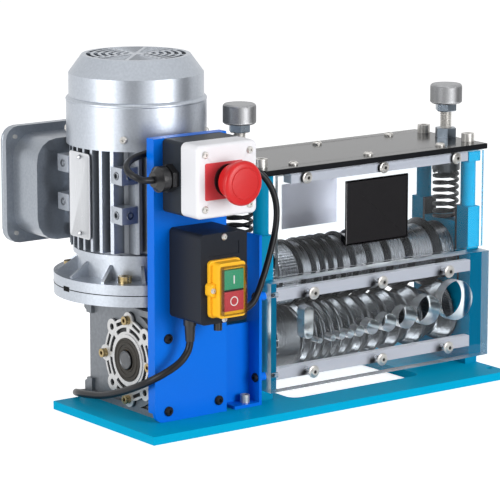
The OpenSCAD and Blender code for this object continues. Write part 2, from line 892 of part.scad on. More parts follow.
// Lower roller: drive shaft, smooth band and graded grooves in one turned piece.
function groove(i) = 1.2 + 0.195 * hole_d[i];
function crest(i) = i == 0 ? hole_x[0] - hole_d[0] / 2 - 4
    : i > hole_last ? body_right - 1.2
    : (hole_x[i - 1] + hole_d[i - 1] / 2 + hole_x[i] - hole_d[i] / 2) / 2;
module lower_roller() {
    grooves = [for (i = [0:hole_last]) each [[land, crest(i) + 0.6], [land - groove(i), hole_x[i] - 0.6],
        [land - groove(i), hole_x[i] + 0.6], [land, crest(i + 1) - 0.6]]];
    color([0.75, 0.76, 0.78])
        raise()
            turned_x(drive_y, drive_z, concat([[0, -43], [9, -43], [9, cover_face], [10, cover_face],
                [10, 98.9], [12, 98.9], [12, body_left], [land, body_left]], grooves,
                [[land, body_right], [10, body_right], [10, right_x + side_half - 0.5], [0, right_x + side_half - 0.5]]));
}

module lower_gear() {
    color([0.65, 0.66, 0.68])
        raise()
            gear(drive_y, drive_z, 90, 12 + seat_gap);
}

// Sliding bearing blocks with a spigot for the spring.
spigot_r = spring_outer / 2 - spring_wire - 1.4;
module slider(x, out) {
    difference() {
        union() {
            box([x - side_half, drive_y - slot_half + liner + slide_gap, slot_floor],
                [x + side_half, drive_y + slot_half - liner - slide_gap, slider_top]);
            bar_z(slider_top - 1, slider_top + 4, x, drive_y, spigot_r);
        }
        bar_x(x - 5.5 + (out < 0 ? 0 : -3), x + 5.5 + (out < 0 ? 3 : 0), drive_y, upper_z, 17.5 + seat_gap);
        bar_x(x - 9, x + 9, drive_y, upper_z, 14);
    }
}

module slider_blocks() {
    color([0.2, 0.21, 0.23])
        raise() {
            slider(left_x, -1);
            slider(right_x, 1);
        }
}

module upper_bearings() {
    color([0.8, 0.8, 0.82])
        raise() {
            bearing(left_x - 5.5, left_x + 4.5, upper_z, 8.5, 17.5);
            bearing(right_x - 4.5, right_x + 5.5, upper_z, 8.5, 17.5);
        }
}

// Upper roller: knurled band and spacers, with a blade disc over every groove.
core_r = 20;
spacer_r = 28.6;
function blade_half(i) = 2.3 + 0.085 * hole_d[i];
module upper_roller() {
    seats = [for (i = [0:hole_last]) each [[spacer_r, hole_x[i] - blade_half(i)],
        [core_r, hole_x[i] - blade_half(i)], [core_r, hole_x[i] + blade_half(i)],
        [spacer_r, hole_x[i] + blade_half(i)]]];
    color([0.78, 0.79, 0.81])
        raise()
            turned_x(drive_y, upper_z, concat([[0, 84.5], [8.5, 84.5], [8.5, 98.9], [11, 98.9],
                [11, body_left], [24, body_left], [24, band_left], [land - 0.6, band_left], [land - 0.6, band_right],
                [spacer_r, band_right]], seats, [[spacer_r, body_right], [8.5, body_right], [8.5, right_x + side_half - 1], [0, right_x + side_half - 1]]));
}

module blade_discs() {
    color([0.3, 0.3, 0.32])
        raise()
            for (i = [0:hole_last])
                turned_x(drive_y, upper_z, [[core_r + seat_gap, hole_x[i] - blade_half(i)],
                    [land - 1.4, hole_x[i] - blade_half(i)], [land + 0.35 * groove(i), hole_x[i]],
                    [land - 1.4, hole_x[i] + blade_half(i)], [core_r + seat_gap, hole_x[i] + blade_half(i)]]);
}

module upper_gear() {
    color([0.65, 0.66, 0.68])
        raise()
            gear(drive_y, upper_z, -90 + 180 / gear_teeth, 11 + seat_gap);
}

// Round posts, top blocks and the glossy top plate.
module top_posts() {
    color([0.78, 0.79, 0.81])
        raise()
            for (x = [left_x, right_x], s = [-1, 1])
                translate([x, drive_y + s * post_offset, 0])
                    difference() {
                        union() {
                            bar_z(leg_top, block_bottom, 0, 0, 7.5);
                            bar_z(leg_top - 9, leg_top + 1, 0, 0, 4);
                        }
                        bar_z(block_bottom - 24, block_bottom + 1, 0, 0, 4 + screw_gap);
                    }
}

module top_blocks() {
    color([0, 0.62, 0.8])
        raise()
            for (x = [left_x, right_x])
                difference() {
                    box([x - side_half, drive_y - head_half, block_bottom],
                        [x + side_half, drive_y + head_half, block_top]);
                    for (s = [-1, 1])
                        bar_z(block_bottom - 1, block_top + 1, x, drive_y + s * post_offset, 4 + screw_gap);
                    bar_z(block_bottom - 1, block_top + 1, x, drive_y, screw_r + 0.5);
                }
}

lid_screws = [for (x = [34, 125, 216]) along(x)];
bar_front = -32;
bar_back = 48;
module top_plate() {
    color([0.06, 0.06, 0.07])
        raise()
            difference() {
                box([left_x - 10, -48, block_top], [right_x + 7, 64, lid_top]);
                for (x = [left_x, right_x]) {
                    for (s = [-1, 1])
                        bar_z(block_top - 1, lid_top + 1, x, drive_y + s * post_offset, 4 + screw_gap);
                    bar_z(block_top - 1, lid_top + 1, x, drive_y, screw_r + 0.5);
                }
                for (x = lid_screws, y = [bar_front, bar_back])
                    bar_z(block_top - 1, lid_top + 1, x, y, 2.5 + screw_gap);
            }
}

// Aluminium bars: two under the top plate, two tie bars behind the feed panel.
window_screws = [for (x = [43, 137, 229]) along(x)];
panel_screw_x = [for (x = [44, 128.5, 213]) along(x)];
panel_screw_z = [33, 110];
module cross_bars() {
    color([0.8, 0.8, 0.84])
        raise() {
            for (y = [bar_front, bar_back])
                difference() {
                    box([left_x + 26, y - 6, block_top - 11.5], [right_x - 11, y + 6, block_top]);
                    for (x = lid_screws)
                        bar_z(block_top - 9, block_top + 1, x, y, 2.5 + screw_gap);
                    for (x = window_screws)
                        bar_y(y < 0 ? y - 7 : y - 3, y < 0 ? y + 3 : y + 7, x, 220.3, 2 + screw_gap);
                }
            for (z = panel_screw_z)
                difference() {
                    box([left_x + side_half, front_y, z - 5.5], [right_x - side_half, front_y + 8, z + 5.5]);
                    for (x = panel_screw_x)
                        bar_y(front_y - 1, front_y + 7, x, z, 2.5 + screw_gap);
                }
        }
}

// Clear feed panel with graded holes on one common bottom line and a slot for flat cable.
module feed_panel() {
    color([0.85, 0.92, 0.95, 0.4])
        raise()
            difference() {
                box([left_x - side_half, panel_front, panel_bottom], [right_x + side_half, front_y, panel_top]);
                for (i = [0:hole_last])
                    bar_y(panel_front - 1, front_y + 1, hole_x[i], hole_bottom + hole_d[i] / 2, hole_d[i] / 2);
                slab_y(panel_front - 1, front_y + 1, rounded([along(32.4), 66], [along(43.4), 98], 5 * min(feed_scale, 1)));
                for (x = panel_screw_x, z = panel_screw_z)
                    bar_y(panel_front - 1, front_y + 1, x, z, 2.5 + screw_gap);
                for (z = [34, 112])
                    bar_x(left_x - side_half - 1, left_x + 6, -41, z, 2.5 + screw_gap);
            }
}

// Clear windows above the feed panel, front and rear.
module front_window() {
    color([0.85, 0.92, 0.95, 0.3])
        raise()
            difference() {
                box([left_x + 8, window_front - window_thickness, 128], [right_x + side_half, window_front, 225]);
                for (x = window_screws)
                    bar_y(window_front - window_thickness - 1, window_front + 1, x, 220.3, 2 + screw_gap);
            }
}

module rear_window() {
    color([0.85, 0.92, 0.95, 0.3])
        raise()
            difference() {
                box([left_x + 8, window_back, 128], [right_x + side_half, window_back + window_thickness, 225]);
                for (x = window_screws)
                    bar_y(window_back - 1, window_back + window_thickness + 1, x, 220.3, 2 + screw_gap);
            }
}

// Screws of the feed panel, the windows and the top plate bars.
module panel_screws() {
    color([0.82, 0.82, 0.84])
        raise() {
            for (x = panel_screw_x, z = panel_screw_z)
                translate([x, panel_front, z])
                    rotate([90, 0, 0])
                        button_screw(4.8, 2.8, 2.5, panel_thickness + 6);
            for (x = window_screws) {
                translate([x, window_front - window_thickness, 220.3])
                    rotate([90, 0, 0])
                        button_screw(4.4, 2.6, 2, window_thickness + 8);
                translate([x, window_back + window_thickness, 220.3])
                    rotate([-90, 0, 0])
                        button_screw(4.4, 2.6, 2, window_thickness + 8);
            }
            for (x = lid_screws, y = [bar_front, bar_back])
                translate([x, y, lid_top])
                    button_screw(4.8, 2.8, 2.5, lid_thickness + 8);
        }
}

// Socket screws that clamp the top plate to the posts.
module post_screws() {
    color([0.7, 0.71, 0.74])
        raise()
            for (x = [left_x, right_x], s = [-1, 1])
                translate([x, drive_y + s * post_offset, lid_top])
                    cap_screw(6.5, 8, 4, lid_top - block_bottom + 20);
}

// Hexagon feed nuts on the top plate.
module feed_nuts() {
    color([0.68, 0.71, 0.76])
        raise()
            for (x = [left_x, right_x])
                translate([x, drive_y, lid_top])
                    difference() {
                        cylinder(h = 9.3, r = 11, $fn = 6);
                        translate([0, 0, -1])
                            cylinder(h = 12, r = screw_r + run_gap);
                    }
}

// Press screw with its jam nut and knob; the tip turns in the spring cup.
module press_screw(x, extra) {
    translate([x, drive_y, 0])
        union() {
            bar_z(cup_top - 5, cup_top + 1, 0, 0, 5);
            bar_z(cup_top + 0.5, knob_bottom + extra + knob_height + 1.5, 0, 0, screw_r);
            translate([0, 0, knob_bottom + extra - 8])
                cylinder(h = 8, r = 11, $fn = 6);
            translate([0, 0, knob_bottom + extra])
                rotate_extrude()
                    polygon([[0, 0], [knob_diameter / 2 - 1.5, 0], [knob_diameter / 2, 1.5],
                        [knob_diameter / 2, knob_height - 1.5], [knob_diameter / 2 - 1.5, knob_height],
                        [0, knob_height]]);
        }
}

module left_press_screw() {
    color([0.7, 0.72, 0.76])
        raise()
            press_screw(left_x, 3);
}

module right_press_screw() {
    color([0.7, 0.72, 0.76])
        raise()
            press_screw(right_x, 0);
}

module spring_cup(x) {
    translate([x, drive_y, 0])
        difference() {
            union() {
                bar_z(cup_bottom, cup_top, 0, 0, 14);
                bar_z(cup_bottom - 4, cup_bottom + 1, 0, 0, spigot_r);
            }
            bar_z(cup_top - 5, cup_top + 1, 0, 0, 5 + run_gap);
        }
}

module left_spring_cup() {
    color([0.3, 0.31, 0.33])
        raise()
            spring_cup(left_x);
}

module right_spring_cup() {
    color([0.3, 0.31, 0.33])
        raise()
            spring_cup(right_x);
}

// Press springs with one closed turn at each end and open turns between.
spring_turns = 7;
spring_close = spring_wire + 0.8;
spring_open = (cup_bottom - slider_top - spring_wire - 2 * spring_close) / (spring_turns - 2);
function spring_z(u) = u < 1 ? spring_close * u
    : u < spring_turns - 1 ? spring_close + spring_open * (u - 1)
    : spring_close + spring_open * (spring_turns - 2) + spring_close * (u - spring_turns + 1);
spring_path = [for (k = [0:8 * spring_turns]) let (u = k / 8, r = (spring_outer - spring_wire) / 2)
    [r * cos(360 * u + 150), r * sin(360 * u + 150), slider_top + spring_wire / 2 + spring_z(u)]];
spring_least = min([for (k = [0:8 * spring_turns - 8]) norm(spring_path[k + 8] - spring_path[k])]) - spring_wire;
echo(str("least gap between spring turns ", spring_least));

module press_spring(x) {
    translate([x, drive_y, 0])
        tube(spring_path, spring_wire / 2, 6);
}

module left_press_spring() {
    color([0.12, 0.12, 0.13])
        raise()
            press_spring(left_x);
}

module right_press_spring() {
    color([0.12, 0.12, 0.13])
        raise()
            press_spring(right_x);
}

// Lead from the stop box round the motor to the terminal box.
motor_lead_route = [[stop_left - 2, gland_y, stop_z], [-50, gland_y, stop_z], [-60, gland_y, stop_z], [-67, -59.3, 241.5], [-72, -54.5, 244],
    [-73.5, -46, 247.5], [-70, -37.5, 251], [-62, -31, 254.5], [-50, -26.5, 257], [-34, -24, 258.5], [-16, -27, 257],
    [4, -29, 252], [24, -26, 244], [42, -17, 236], [60.5, -6.5, 228], [69, 15, 222.5], [74, 38, 218.5],
    [73.5, 60, 216.8], [67, 76, 216.5], [61.3, 86, 216.5], [gland_x, 94, gland_z],
    [gland_x, 101, gland_z], [gland_x, 110, gland_z]];
module motor_lead() {
    color([0.08, 0.08, 0.09])
        raise()
            tube(smooth(motor_lead_route, 2), 3.25, 8);
}

// Lead from the stop box down to the switch box.
stop_lead_route = [[stop_right - 5, gland_y, stop_z + 3], [stop_right + 8, gland_y, stop_z + 3], [53, -62.5, 241],
    [64, -66, 232.5], [72, -69, 219], [75, -71.5, 203], [72.5, -73.5, 184], [65, -75, 161], [54, -78, 138],
    [43, -81, 121], [33, -82, 114.2], [switch_right, -82, 113], [switch_right - 3.5, -82, 113]];
module stop_lead() {
    color([0.08, 0.08, 0.09])
        raise()
            tube(smooth(stop_lead_route, 3), 3, 8);
}

// Mains lead from the switch box, past the gearbox and down behind the base.
rear = base_depth / 2 - 84;
coil_x = 140;
coil_y = 150 + rear;
coil_low = lead_r + 1.4;
coil_step = lead_diameter + 0.6;
coil_outer = 5.5 * lead_diameter + 1.25 * coil_step;
mains_route = [[-19, -64, switch_bottom - 2 + lift], [-19, -64, 95 + lift], [-19, -64, 86 + lift],
    [-22, -64, 76.5 + lift], [-30, -63, 67.5 + lift], [-41, -58.5, 59.5 + lift], [-50.5, -49, 51.5 + lift],
    [-55.5, -33, 43 + lift],
    [-56.5, -12, 34.5 + lift], [-56.5, 10, 27 + lift], [-55.8, 30, 21.5 + lift], [-54.6, 50 + rear, 18 + lift],
    [-52.5, 68 + rear, 15.4 + lift], [-49, 80 + rear, 13.4 + lift], [-43, 91 + rear, 10.6 + lift],
    [-33, 98.5 + rear, 7.2], [-19, 101.8 + rear, 5.1], [-4, coil_y - coil_outer, coil_low], [30, coil_y - coil_outer, coil_low],
    [80, coil_y - coil_outer, coil_low], [coil_x - 8, coil_y - coil_outer, coil_low]];
module mains_cord() {
    color([0.08, 0.08, 0.09])
        tube(smooth(mains_route, 3), lead_r, 8);
}

// Spare lead wound in two layers: in on the floor, up in half a turn, and out again on top.
coil_inner = coil_outer - 2.5 * coil_step;
function turn_r(u) = u < 2.5 ? coil_outer - coil_step * u
    : u < 3 ? coil_inner - coil_step * (u - 2.5) * (1 - (u - 2.5) / 0.5)
    : coil_inner + coil_step * (u - 3);
function climb(u) = u < 2.5 ? 0 : u > 3 ? 1 : (1 - cos(360 * (u - 2.5))) / 2;
function turn_point(u) = [coil_x + turn_r(u) * cos(360 * u - 90), coil_y + turn_r(u) * sin(360 * u - 90),
    coil_low + coil_step * climb(u)];
coil_turns = 5;
coil_wound = [for (k = [0:24 * coil_turns]) turn_point(k / 24)];
coil_end = coil_wound[24 * coil_turns];
plug_x = coil_x + 48;
plug_z = 12.6;
coil_path = concat([[coil_x - 8, coil_y - coil_outer, coil_low]], coil_wound,
    [coil_end + [9, 0, 0], coil_end + [22, 0, 0.3], coil_end + [36, 0, (plug_z - coil_end[2]) * 0.8],
    [plug_x, coil_end[1], plug_z], [plug_x + 8, coil_end[1], plug_z]]);
coil_least = min([for (i = [0:24 * coil_turns], j = [0:24 * coil_turns]) if (j - i > 11)
    norm(coil_wound[j] - coil_wound[i])]) - lead_diameter;
echo(str("least gap inside the coil ", coil_least));
module mains_coil() {
    color([0.08, 0.08, 0.09])
        tube(coil_path, lead_r, 6);
}

// Three pin plug lying on the floor.
module mains_plug() {
    color([0.1, 0.1, 0.11])
        difference() {
            union() {
                translate([plug_x, coil_end[1], plug_z])
                    rotate([0, 90, 0])
                        cylinder(h = 28, r1 = lead_r + 1.5, r2 = 8);
                bar_x(plug_x + 28, plug_x + 54, coil_end[1], plug_z, 12.5);
                bar_x(plug_x + 54, plug_x + 58, coil_end[1], plug_z, 11.5);
                for (y = [-6.35, 6.35])
                    box([plug_x + 57, coil_end[1] + y - 0.75, plug_z - 1],
                        [plug_x + 74, coil_end[1] + y + 0.75, plug_z + 5.3]);
                bar_x(plug_x + 57, plug_x + 77, coil_end[1], plug_z - 6, 2.4);
            }
            bar_x(plug_x - 1, plug_x + 8, coil_end[1], plug_z, lead_r + screw_gap);
        }
}

// Band round the coil at its back.
module coil_tie() {
    top = coil_low + coil_step + lead_r + 0.3;
    near = coil_y + coil_inner - lead_r - 0.6;
    far = coil_y + coil_outer - coil_step / 2 + lead_r + 0.4;
    color([0.2, 0.2, 0.22])
        difference() {
            box([coil_x - 2.5, near - 1, 0], [coil_x + 2.5, far + 1, top + 1]);
            box([coil_x - 4, near, 1], [coil_x + 4, far, top]);
        }
}

base_plate();
gearbox_housing();
gearbox_covers();
worm_wheel();
gearbox_flange();
motor_flange();
motor_body();
motor_rotor();
motor_fan();
motor_cowl();
drive_screws();
terminal_box();
terminal_lid();
cover_plate();
bracket_plate();
cover_screws();
estop_base();
estop_cover();
estop_collar();
estop_stem();
estop_button();
cable_glands();
box_screws();
switch_box();
switch_surround();
start_button();
stop_button();
left_side_plate();
right_side_plate();
guide_liners();
lower_bearings();
lower_roller();
lower_gear();
slider_blocks();
upper_bearings();
upper_roller();
blade_discs();
upper_gear();
top_posts();
top_blocks();
top_plate();
cross_bars();
feed_panel();
front_window();
rear_window();
panel_screws();
post_screws();
feed_nuts();
left_press_screw();
right_press_screw();
left_spring_cup();
right_spring_cup();
left_press_spring();
right_press_spring();
motor_lead();
stop_lead();
mains_cord();
mains_coil();
mains_plug();
coil_tie();
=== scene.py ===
# Bench wire stripping machine: a gear motor, a blue sheet cover with its switches and a roller
# head behind clear panels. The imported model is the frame; this script gives each piece its looks.
import math

import bmesh
import bpy
from mathutils import Matrix, Vector


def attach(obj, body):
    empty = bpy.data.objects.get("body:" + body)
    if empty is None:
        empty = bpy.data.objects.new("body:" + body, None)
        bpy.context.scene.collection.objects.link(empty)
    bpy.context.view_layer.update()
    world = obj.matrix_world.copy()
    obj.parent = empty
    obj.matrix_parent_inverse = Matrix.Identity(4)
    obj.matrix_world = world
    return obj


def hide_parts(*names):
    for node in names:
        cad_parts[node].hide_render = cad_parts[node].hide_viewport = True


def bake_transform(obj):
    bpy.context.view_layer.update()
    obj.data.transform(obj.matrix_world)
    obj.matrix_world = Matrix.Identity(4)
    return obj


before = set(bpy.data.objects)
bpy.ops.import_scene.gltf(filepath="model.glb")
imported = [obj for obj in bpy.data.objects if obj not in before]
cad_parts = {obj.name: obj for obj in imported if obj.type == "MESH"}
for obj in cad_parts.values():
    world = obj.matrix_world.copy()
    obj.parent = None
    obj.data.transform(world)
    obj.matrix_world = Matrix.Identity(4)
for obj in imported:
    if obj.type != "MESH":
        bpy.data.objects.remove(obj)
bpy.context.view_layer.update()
MM = 0.001
scene = bpy.context.scene
scene.view_settings.view_transform = "Standard"

# Camera: a long lens at the photograph's height and angle, aimed at the middle of the machine, so
# that its near and far ends come out at nearly the same scale.
AIM = Vector((0.09755, 0, 0.14791))
TURN, RISE, REACH = math.radians(-36.66), math.radians(11.34), 2.8469
BACK = Vector((math.sin(TURN) * math.cos(RISE), -math.cos(TURN) * math.cos(RISE), math.sin(RISE)))
camera = bpy.data.objects.new("camera", bpy.data.cameras.new("camera"))
camera.location = AIM + BACK * REACH
camera.rotation_euler = (-BACK).to_track_quat("-Z", "Y").to_euler()
camera.data.lens = 214.15
camera.data.sensor_width = 36
camera.data.clip_end = 20
scene.collection.objects.link(camera)
scene.camera = camera


# Studio: white to the camera and to reflections, a soft grey level for the light itself, and
# three large lamps, one from the far left, one from the front right and a weak one above.
def add_nodes(tree, *kinds):
    """New shader nodes, each given by its kind."""
    return [tree.nodes.new("ShaderNode" + kind) for kind in kinds]


def rays_that_see_white(tree):
    """A mask of the rays that look at the studio instead of lighting it."""
    path, first, second = add_nodes(tree, "LightPath", "Math", "Math")
    first.operation = second.operation = "MAXIMUM"
    tree.links.new(path.outputs["Is Camera Ray"], first.inputs[0])
    tree.links.new(path.outputs["Is Transmission Ray"], first.inputs[1])
    tree.links.new(first.outputs[0], second.inputs[0])
    tree.links.new(path.outputs["Is Glossy Ray"], second.inputs[1])
    return second.outputs[0]


SEEN_WHITE, SOFT_LEVEL = 1.0, 0.36
scene.world = bpy.data.worlds.new("studio")
scene.world.use_nodes = True
sky = scene.world.node_tree
sky.nodes.clear()
white_room, soft_room, room_mix, room_out = add_nodes(sky, "Background", "Background", "MixShader",
                                                      "OutputWorld")
for room, strength in ((white_room, SEEN_WHITE), (soft_room, SOFT_LEVEL)):
    room.inputs["Color"].default_value = (1, 1, 1, 1)
    room.inputs["Strength"].default_value = strength
sky.links.new(rays_that_see_white(sky), room_mix.inputs[0])
sky.links.new(soft_room.outputs[0], room_mix.inputs[1])
sky.links.new(white_room.outputs[0], room_mix.inputs[2])
sky.links.new(room_mix.outputs[0], room_out.inputs[0])


def lamp(name, place, size, watts):
    """A square lamp that looks at the middle of the machine."""
    light = bpy.data.lights.new(name, "AREA")
    light.size = size
    light.energy = watts
    holder = bpy.data.objects.new(name, light)
    holder.location = place
    holder.rotation_euler = (Vector(place) - AIM).to_track_quat("Z", "Y").to_euler()
    scene.collection.objects.link(holder)


lamp("left_lamp", (-2.35, -0.1, 0.7), 1.2, 37)
lamp("right_lamp", (0.65, -2.35, 0.6), 1.2, 43)
lamp("top_lamp", (0.2, 0.3, 2.3), 1.6, 7)


# Dark cards: two stand in front and one lies on the floor, seen only in reflections. They put the
# dark bands on bright metal that black flags put there in a studio.
def board(name, half, material, place, tilt=0, turn=0):
    """A flat square board of the studio, in metres and degrees."""
    grid = bmesh.new()
    bmesh.ops.create_grid(grid, x_segments=1, y_segments=1, size=half)
    data = bpy.data.meshes.new(name)
    grid.to_mesh(data)
    grid.free()
    data.materials.append(material)
    made = bpy.data.objects.new(name, data)
    made.location = place
    made.rotation_euler = (math.radians(tilt), 0, math.radians(turn))
    scene.collection.objects.link(made)
    return made


card_black = bpy.data.materials.new("card_black")
card_black.use_nodes = True
card_shader = card_black.node_tree.nodes["Principled BSDF"]
card_shader.inputs["Base Color"].default_value = (0.03, 0.03, 0.035, 1)
card_shader.inputs["Roughness"].default_value = 0.9
for name, place, tilt, turn, wide, high in (("front_card", (-0.62, -0.67, 0.45), 90, -41, 0.54, 0.9),
                                            ("right_card", (0.68, -0.59, 0.31), 90, 37, 0.7, 0.6),
                                            ("floor_card", (0.55, -0.42, 0.001), 0, 0, 0.9, 0.54)):
    card = board(name, 0.5, card_black, place, tilt, turn)
    card.scale = (wide, high, 1)
    card.visible_camera = card.visible_diffuse = card.visible_shadow = card.visible_transmission = False

# Floor: a matt pale sheet that also glows to the camera and to reflections, so that it runs into
# the white of the room and keeps only the soft shadow of the machine.
FLOOR_HALF, FLOOR_Z, FLOOR_GREY, FLOOR_GLOW = 8, -0.0004, 0.82, 0.72
floor_paint = bpy.data.materials.new("floor_white")
floor_paint.use_nodes = True
tree = floor_paint.node_tree
tree.nodes.clear()
matt, glow, both, pick, floor_out = add_nodes(tree, "BsdfDiffuse", "Emission", "AddShader", "MixShader",
                                              "OutputMaterial")
matt.inputs["Color"].default_value = (FLOOR_GREY, FLOOR_GREY, FLOOR_GREY, 1)
glow.inputs["Strength"].default_value = FLOOR_GLOW
tree.links.new(rays_that_see_white(tree), pick.inputs[0])
tree.links.new(matt.outputs[0], both.inputs[0])
tree.links.new(glow.outputs[0], both.inputs[1])
tree.links.new(matt.outputs[0], pick.inputs[1])
tree.links.new(both.outputs[0], pick.inputs[2])
tree.links.new(pick.outputs[0], floor_out.inputs[0])
floor = board("floor", FLOOR_HALF, floor_paint, (0, 0, FLOOR_Z))


# Mains lead: a black 7 mm rubber lead from the foot of the switch box, past the gearbox and down
# behind the base; its spare length is wound in two flat layers, and it ends in the plug.
def rgb(red, green, blue):
    """A colour as a screen shows it, turned to the linear values that shaders take."""
    return tuple(((c / 255 + 0.055) / 1.055) ** 2.4 if c > 10 else c / 3295 for c in (red, green, blue)) + (1,)


def new_group(name, colours, numbers, vectors, outputs):
    """An empty node group with named sockets, and its input and output nodes."""
    group = bpy.data.node_groups.new(name, "ShaderNodeTree")
    for label in colours:
        group.interface.new_socket(label, in_out="INPUT", socket_type="NodeSocketColor")
    for label in numbers:
        group.interface.new_socket(label, in_out="INPUT", socket_type="NodeSocketFloat")
    for label in vectors:
        group.interface.new_socket(label, in_out="INPUT", socket_type="NodeSocketVector")
    for label, kind in outputs:
        group.interface.new_socket(label, in_out="OUTPUT", socket_type=kind)
    return group, group.nodes.new("NodeGroupInput"), group.nodes.new("NodeGroupOutput")


def grain_group():
    """Stretched noise that varies the colour and the gloss and gives a height for the bump."""
    group, given, out = new_group("surface_grain", ["Colour", "Tint"], ["Rough", "Spread"], ["Stretch"],
                                  [("Colour", "NodeSocketColor"), ("Roughness", "NodeSocketFloat"),
                                   ("Height", "NodeSocketFloat")])
    link = group.links.new
    place, stretch, noise, mix, shifted, base, scaled = add_nodes(
        group, "TexCoord", "VectorMath", "TexNoise", "Mix", "Math", "Math", "Math")
    noise.inputs["Scale"].default_value = 1
    noise.inputs["Detail"].default_value = 4
    mix.data_type = "RGBA"
    stretch.operation, shifted.operation, base.operation = "MULTIPLY", "MULTIPLY", "ADD"
    scaled.operation = "MULTIPLY_ADD"
    shifted.inputs[1].default_value = -0.5
    link(place.outputs["Object"], stretch.inputs[0])
    link(given.outputs["Stretch"], stretch.inputs[1])
    link(stretch.outputs[0], noise.inputs["Vector"])
    link(noise.outputs["Fac"], mix.inputs["Factor"])
    link(given.outputs["Colour"], mix.inputs["A"])
    link(given.outputs["Tint"], mix.inputs["B"])
    link(given.outputs["Spread"], shifted.inputs[0])
    link(shifted.outputs[0], base.inputs[0])
    link(given.outputs["Rough"], base.inputs[1])
    link(noise.outputs["Fac"], scaled.inputs[0])
    link(given.outputs["Spread"], scaled.inputs[1])
    link(base.outputs[0], scaled.inputs[2])
    link(mix.outputs["Result"], out.inputs["Colour"])
    link(scaled.outputs[0], out.inputs["Roughness"])
    link(noise.outputs["Fac"], out.inputs["Height"])
    return group


GRAIN = grain_group()


def finish_of(name, colour, tint, rough, spread, stretch, metal=0.0, bump=0.1, depth=0.0001, gloss=0.25):
    """A material of one coloured surface with the grain group on colour, gloss and bump."""
    material = bpy.data.materials.new(name)
    material.use_nodes = True
    nodes, link = material.node_tree.nodes, material.node_tree.links.new
    shader = nodes["Principled BSDF"]
    shader.inputs["Metallic"].default_value = metal
    shader.inputs["Specular IOR Level"].default_value = gloss
    grain, height = add_nodes(material.node_tree, "Group", "Bump")
    grain.node_tree = GRAIN
    grain.inputs["Colour"].default_value = colour
    grain.inputs["Tint"].default_value = tint
    grain.inputs["Rough"].default_value = rough
    grain.inputs["Spread"].default_value = spread
    grain.inputs["Stretch"].default_value = stretch
    height.inputs["Strength"].default_value = bump
    height.inputs["Distance"].default_value = depth
    link(grain.outputs["Colour"], shader.inputs["Base Color"])
    link(grain.outputs["Roughness"], shader.inputs["Roughness"])
    link(grain.outputs["Height"], height.inputs["Height"])
    link(height.outputs["Normal"], shader.inputs["Normal"])
    return material


def smooth_route(points, steps):
    """A smooth line through given points, in metres, cut into steps between each pair."""
    line = []
    for i in range(len(points) - 1):
        a, b = Vector(points[max(i - 1, 0)]), Vector(points[i])
        c, d = Vector(points[i + 1]), Vector(points[min(i + 2, len(points) - 1)])
        for s in range(steps):
            t = s / steps
            line.append(0.5 * (2 * b + (c - a) * t + (2 * a - 5 * b + 4 * c - d) * t * t
                               + (3 * b - a - 3 * c + d) * t ** 3) * MM)
    return line + [Vector(points[-1]) * MM]


def lead_curve(name, line, radius, material):
    """A round lead as a curve with a bevel along the given line."""
    data = bpy.data.curves.new(name, "CURVE")
    data.dimensions = "3D"
    data.bevel_depth = radius
    data.bevel_resolution = 5
    data.use_fill_caps = True
    spline = data.splines.new("POLY")
    spline.points.add(len(line) - 1)
    for point, place in zip(spline.points, line):
        point.co = (*place, 1)
    spline.use_smooth = True
    data.materials.append(material)
    made = bpy.data.objects.new(name, data)
    scene.collection.objects.link(made)
    return made


lead_rubber = finish_of("lead_rubber", rgb(20, 21, 24), rgb(29, 30, 34), rough=0.36, spread=0.1,
                        stretch=(900, 900, 900), bump=0.06, gloss=0.22)
LEAD_RADIUS = 3.5
COIL_CENTRE, COIL_LOW, COIL_STEP, COIL_TURNS = (140, 150), LEAD_RADIUS + 1.4, 7.6, 5
COIL_IN, COIL_CLIMB, COIL_STEPS = 2.5, 0.5, 48
COIL_OUTER = 5.5 * 2 * LEAD_RADIUS + 1.25 * COIL_STEP
COIL_INNER = COIL_OUTER - COIL_IN * COIL_STEP
FLOOR_RUN = COIL_CENTRE[1] - COIL_OUTER
mains_route = [(-19, -64, 105.6), (-19, -64, 95), (-19, -64, 86), (-22, -64, 76.5), (-30, -63, 67.5),
               (-41, -58.5, 59.5), (-50.5, -49, 51.5), (-55.5, -33, 43), (-56.5, -12, 34.5), (-56.5, 10, 27),
               (-55.8, 30, 21.5), (-54.6, 50, 18), (-52.5, 68, 15.4), (-49, 80, 13.4), (-43, 91, 10.6),
               (-33, 98.5, 7.2), (-19, 101.8, 5.1), (-4, FLOOR_RUN, COIL_LOW), (30, FLOOR_RUN, COIL_LOW),
               (80, FLOOR_RUN, COIL_LOW), (COIL_CENTRE[0] - 8, FLOOR_RUN, COIL_LOW)]


def coil_point(turn):
    """In on the lower layer, up a layer in half a turn at the middle, and out on the upper one."""
    inside = min(max(turn - COIL_IN, 0), COIL_CLIMB)
    if turn < COIL_IN:
        radius = COIL_OUTER - COIL_STEP * turn
    elif turn < COIL_IN + COIL_CLIMB:
        radius = COIL_INNER - COIL_STEP * inside * (1 - inside / COIL_CLIMB)
    else:
        radius = COIL_INNER + COIL_STEP * (turn - COIL_IN - COIL_CLIMB)
    angle = math.tau * turn - math.pi / 2
    rise = (1 - math.cos(math.pi * inside / COIL_CLIMB)) / 2
    return Vector((COIL_CENTRE[0] + radius * math.cos(angle), COIL_CENTRE[1] + radius * math.sin(angle),
                   COIL_LOW + COIL_STEP * rise)) * MM


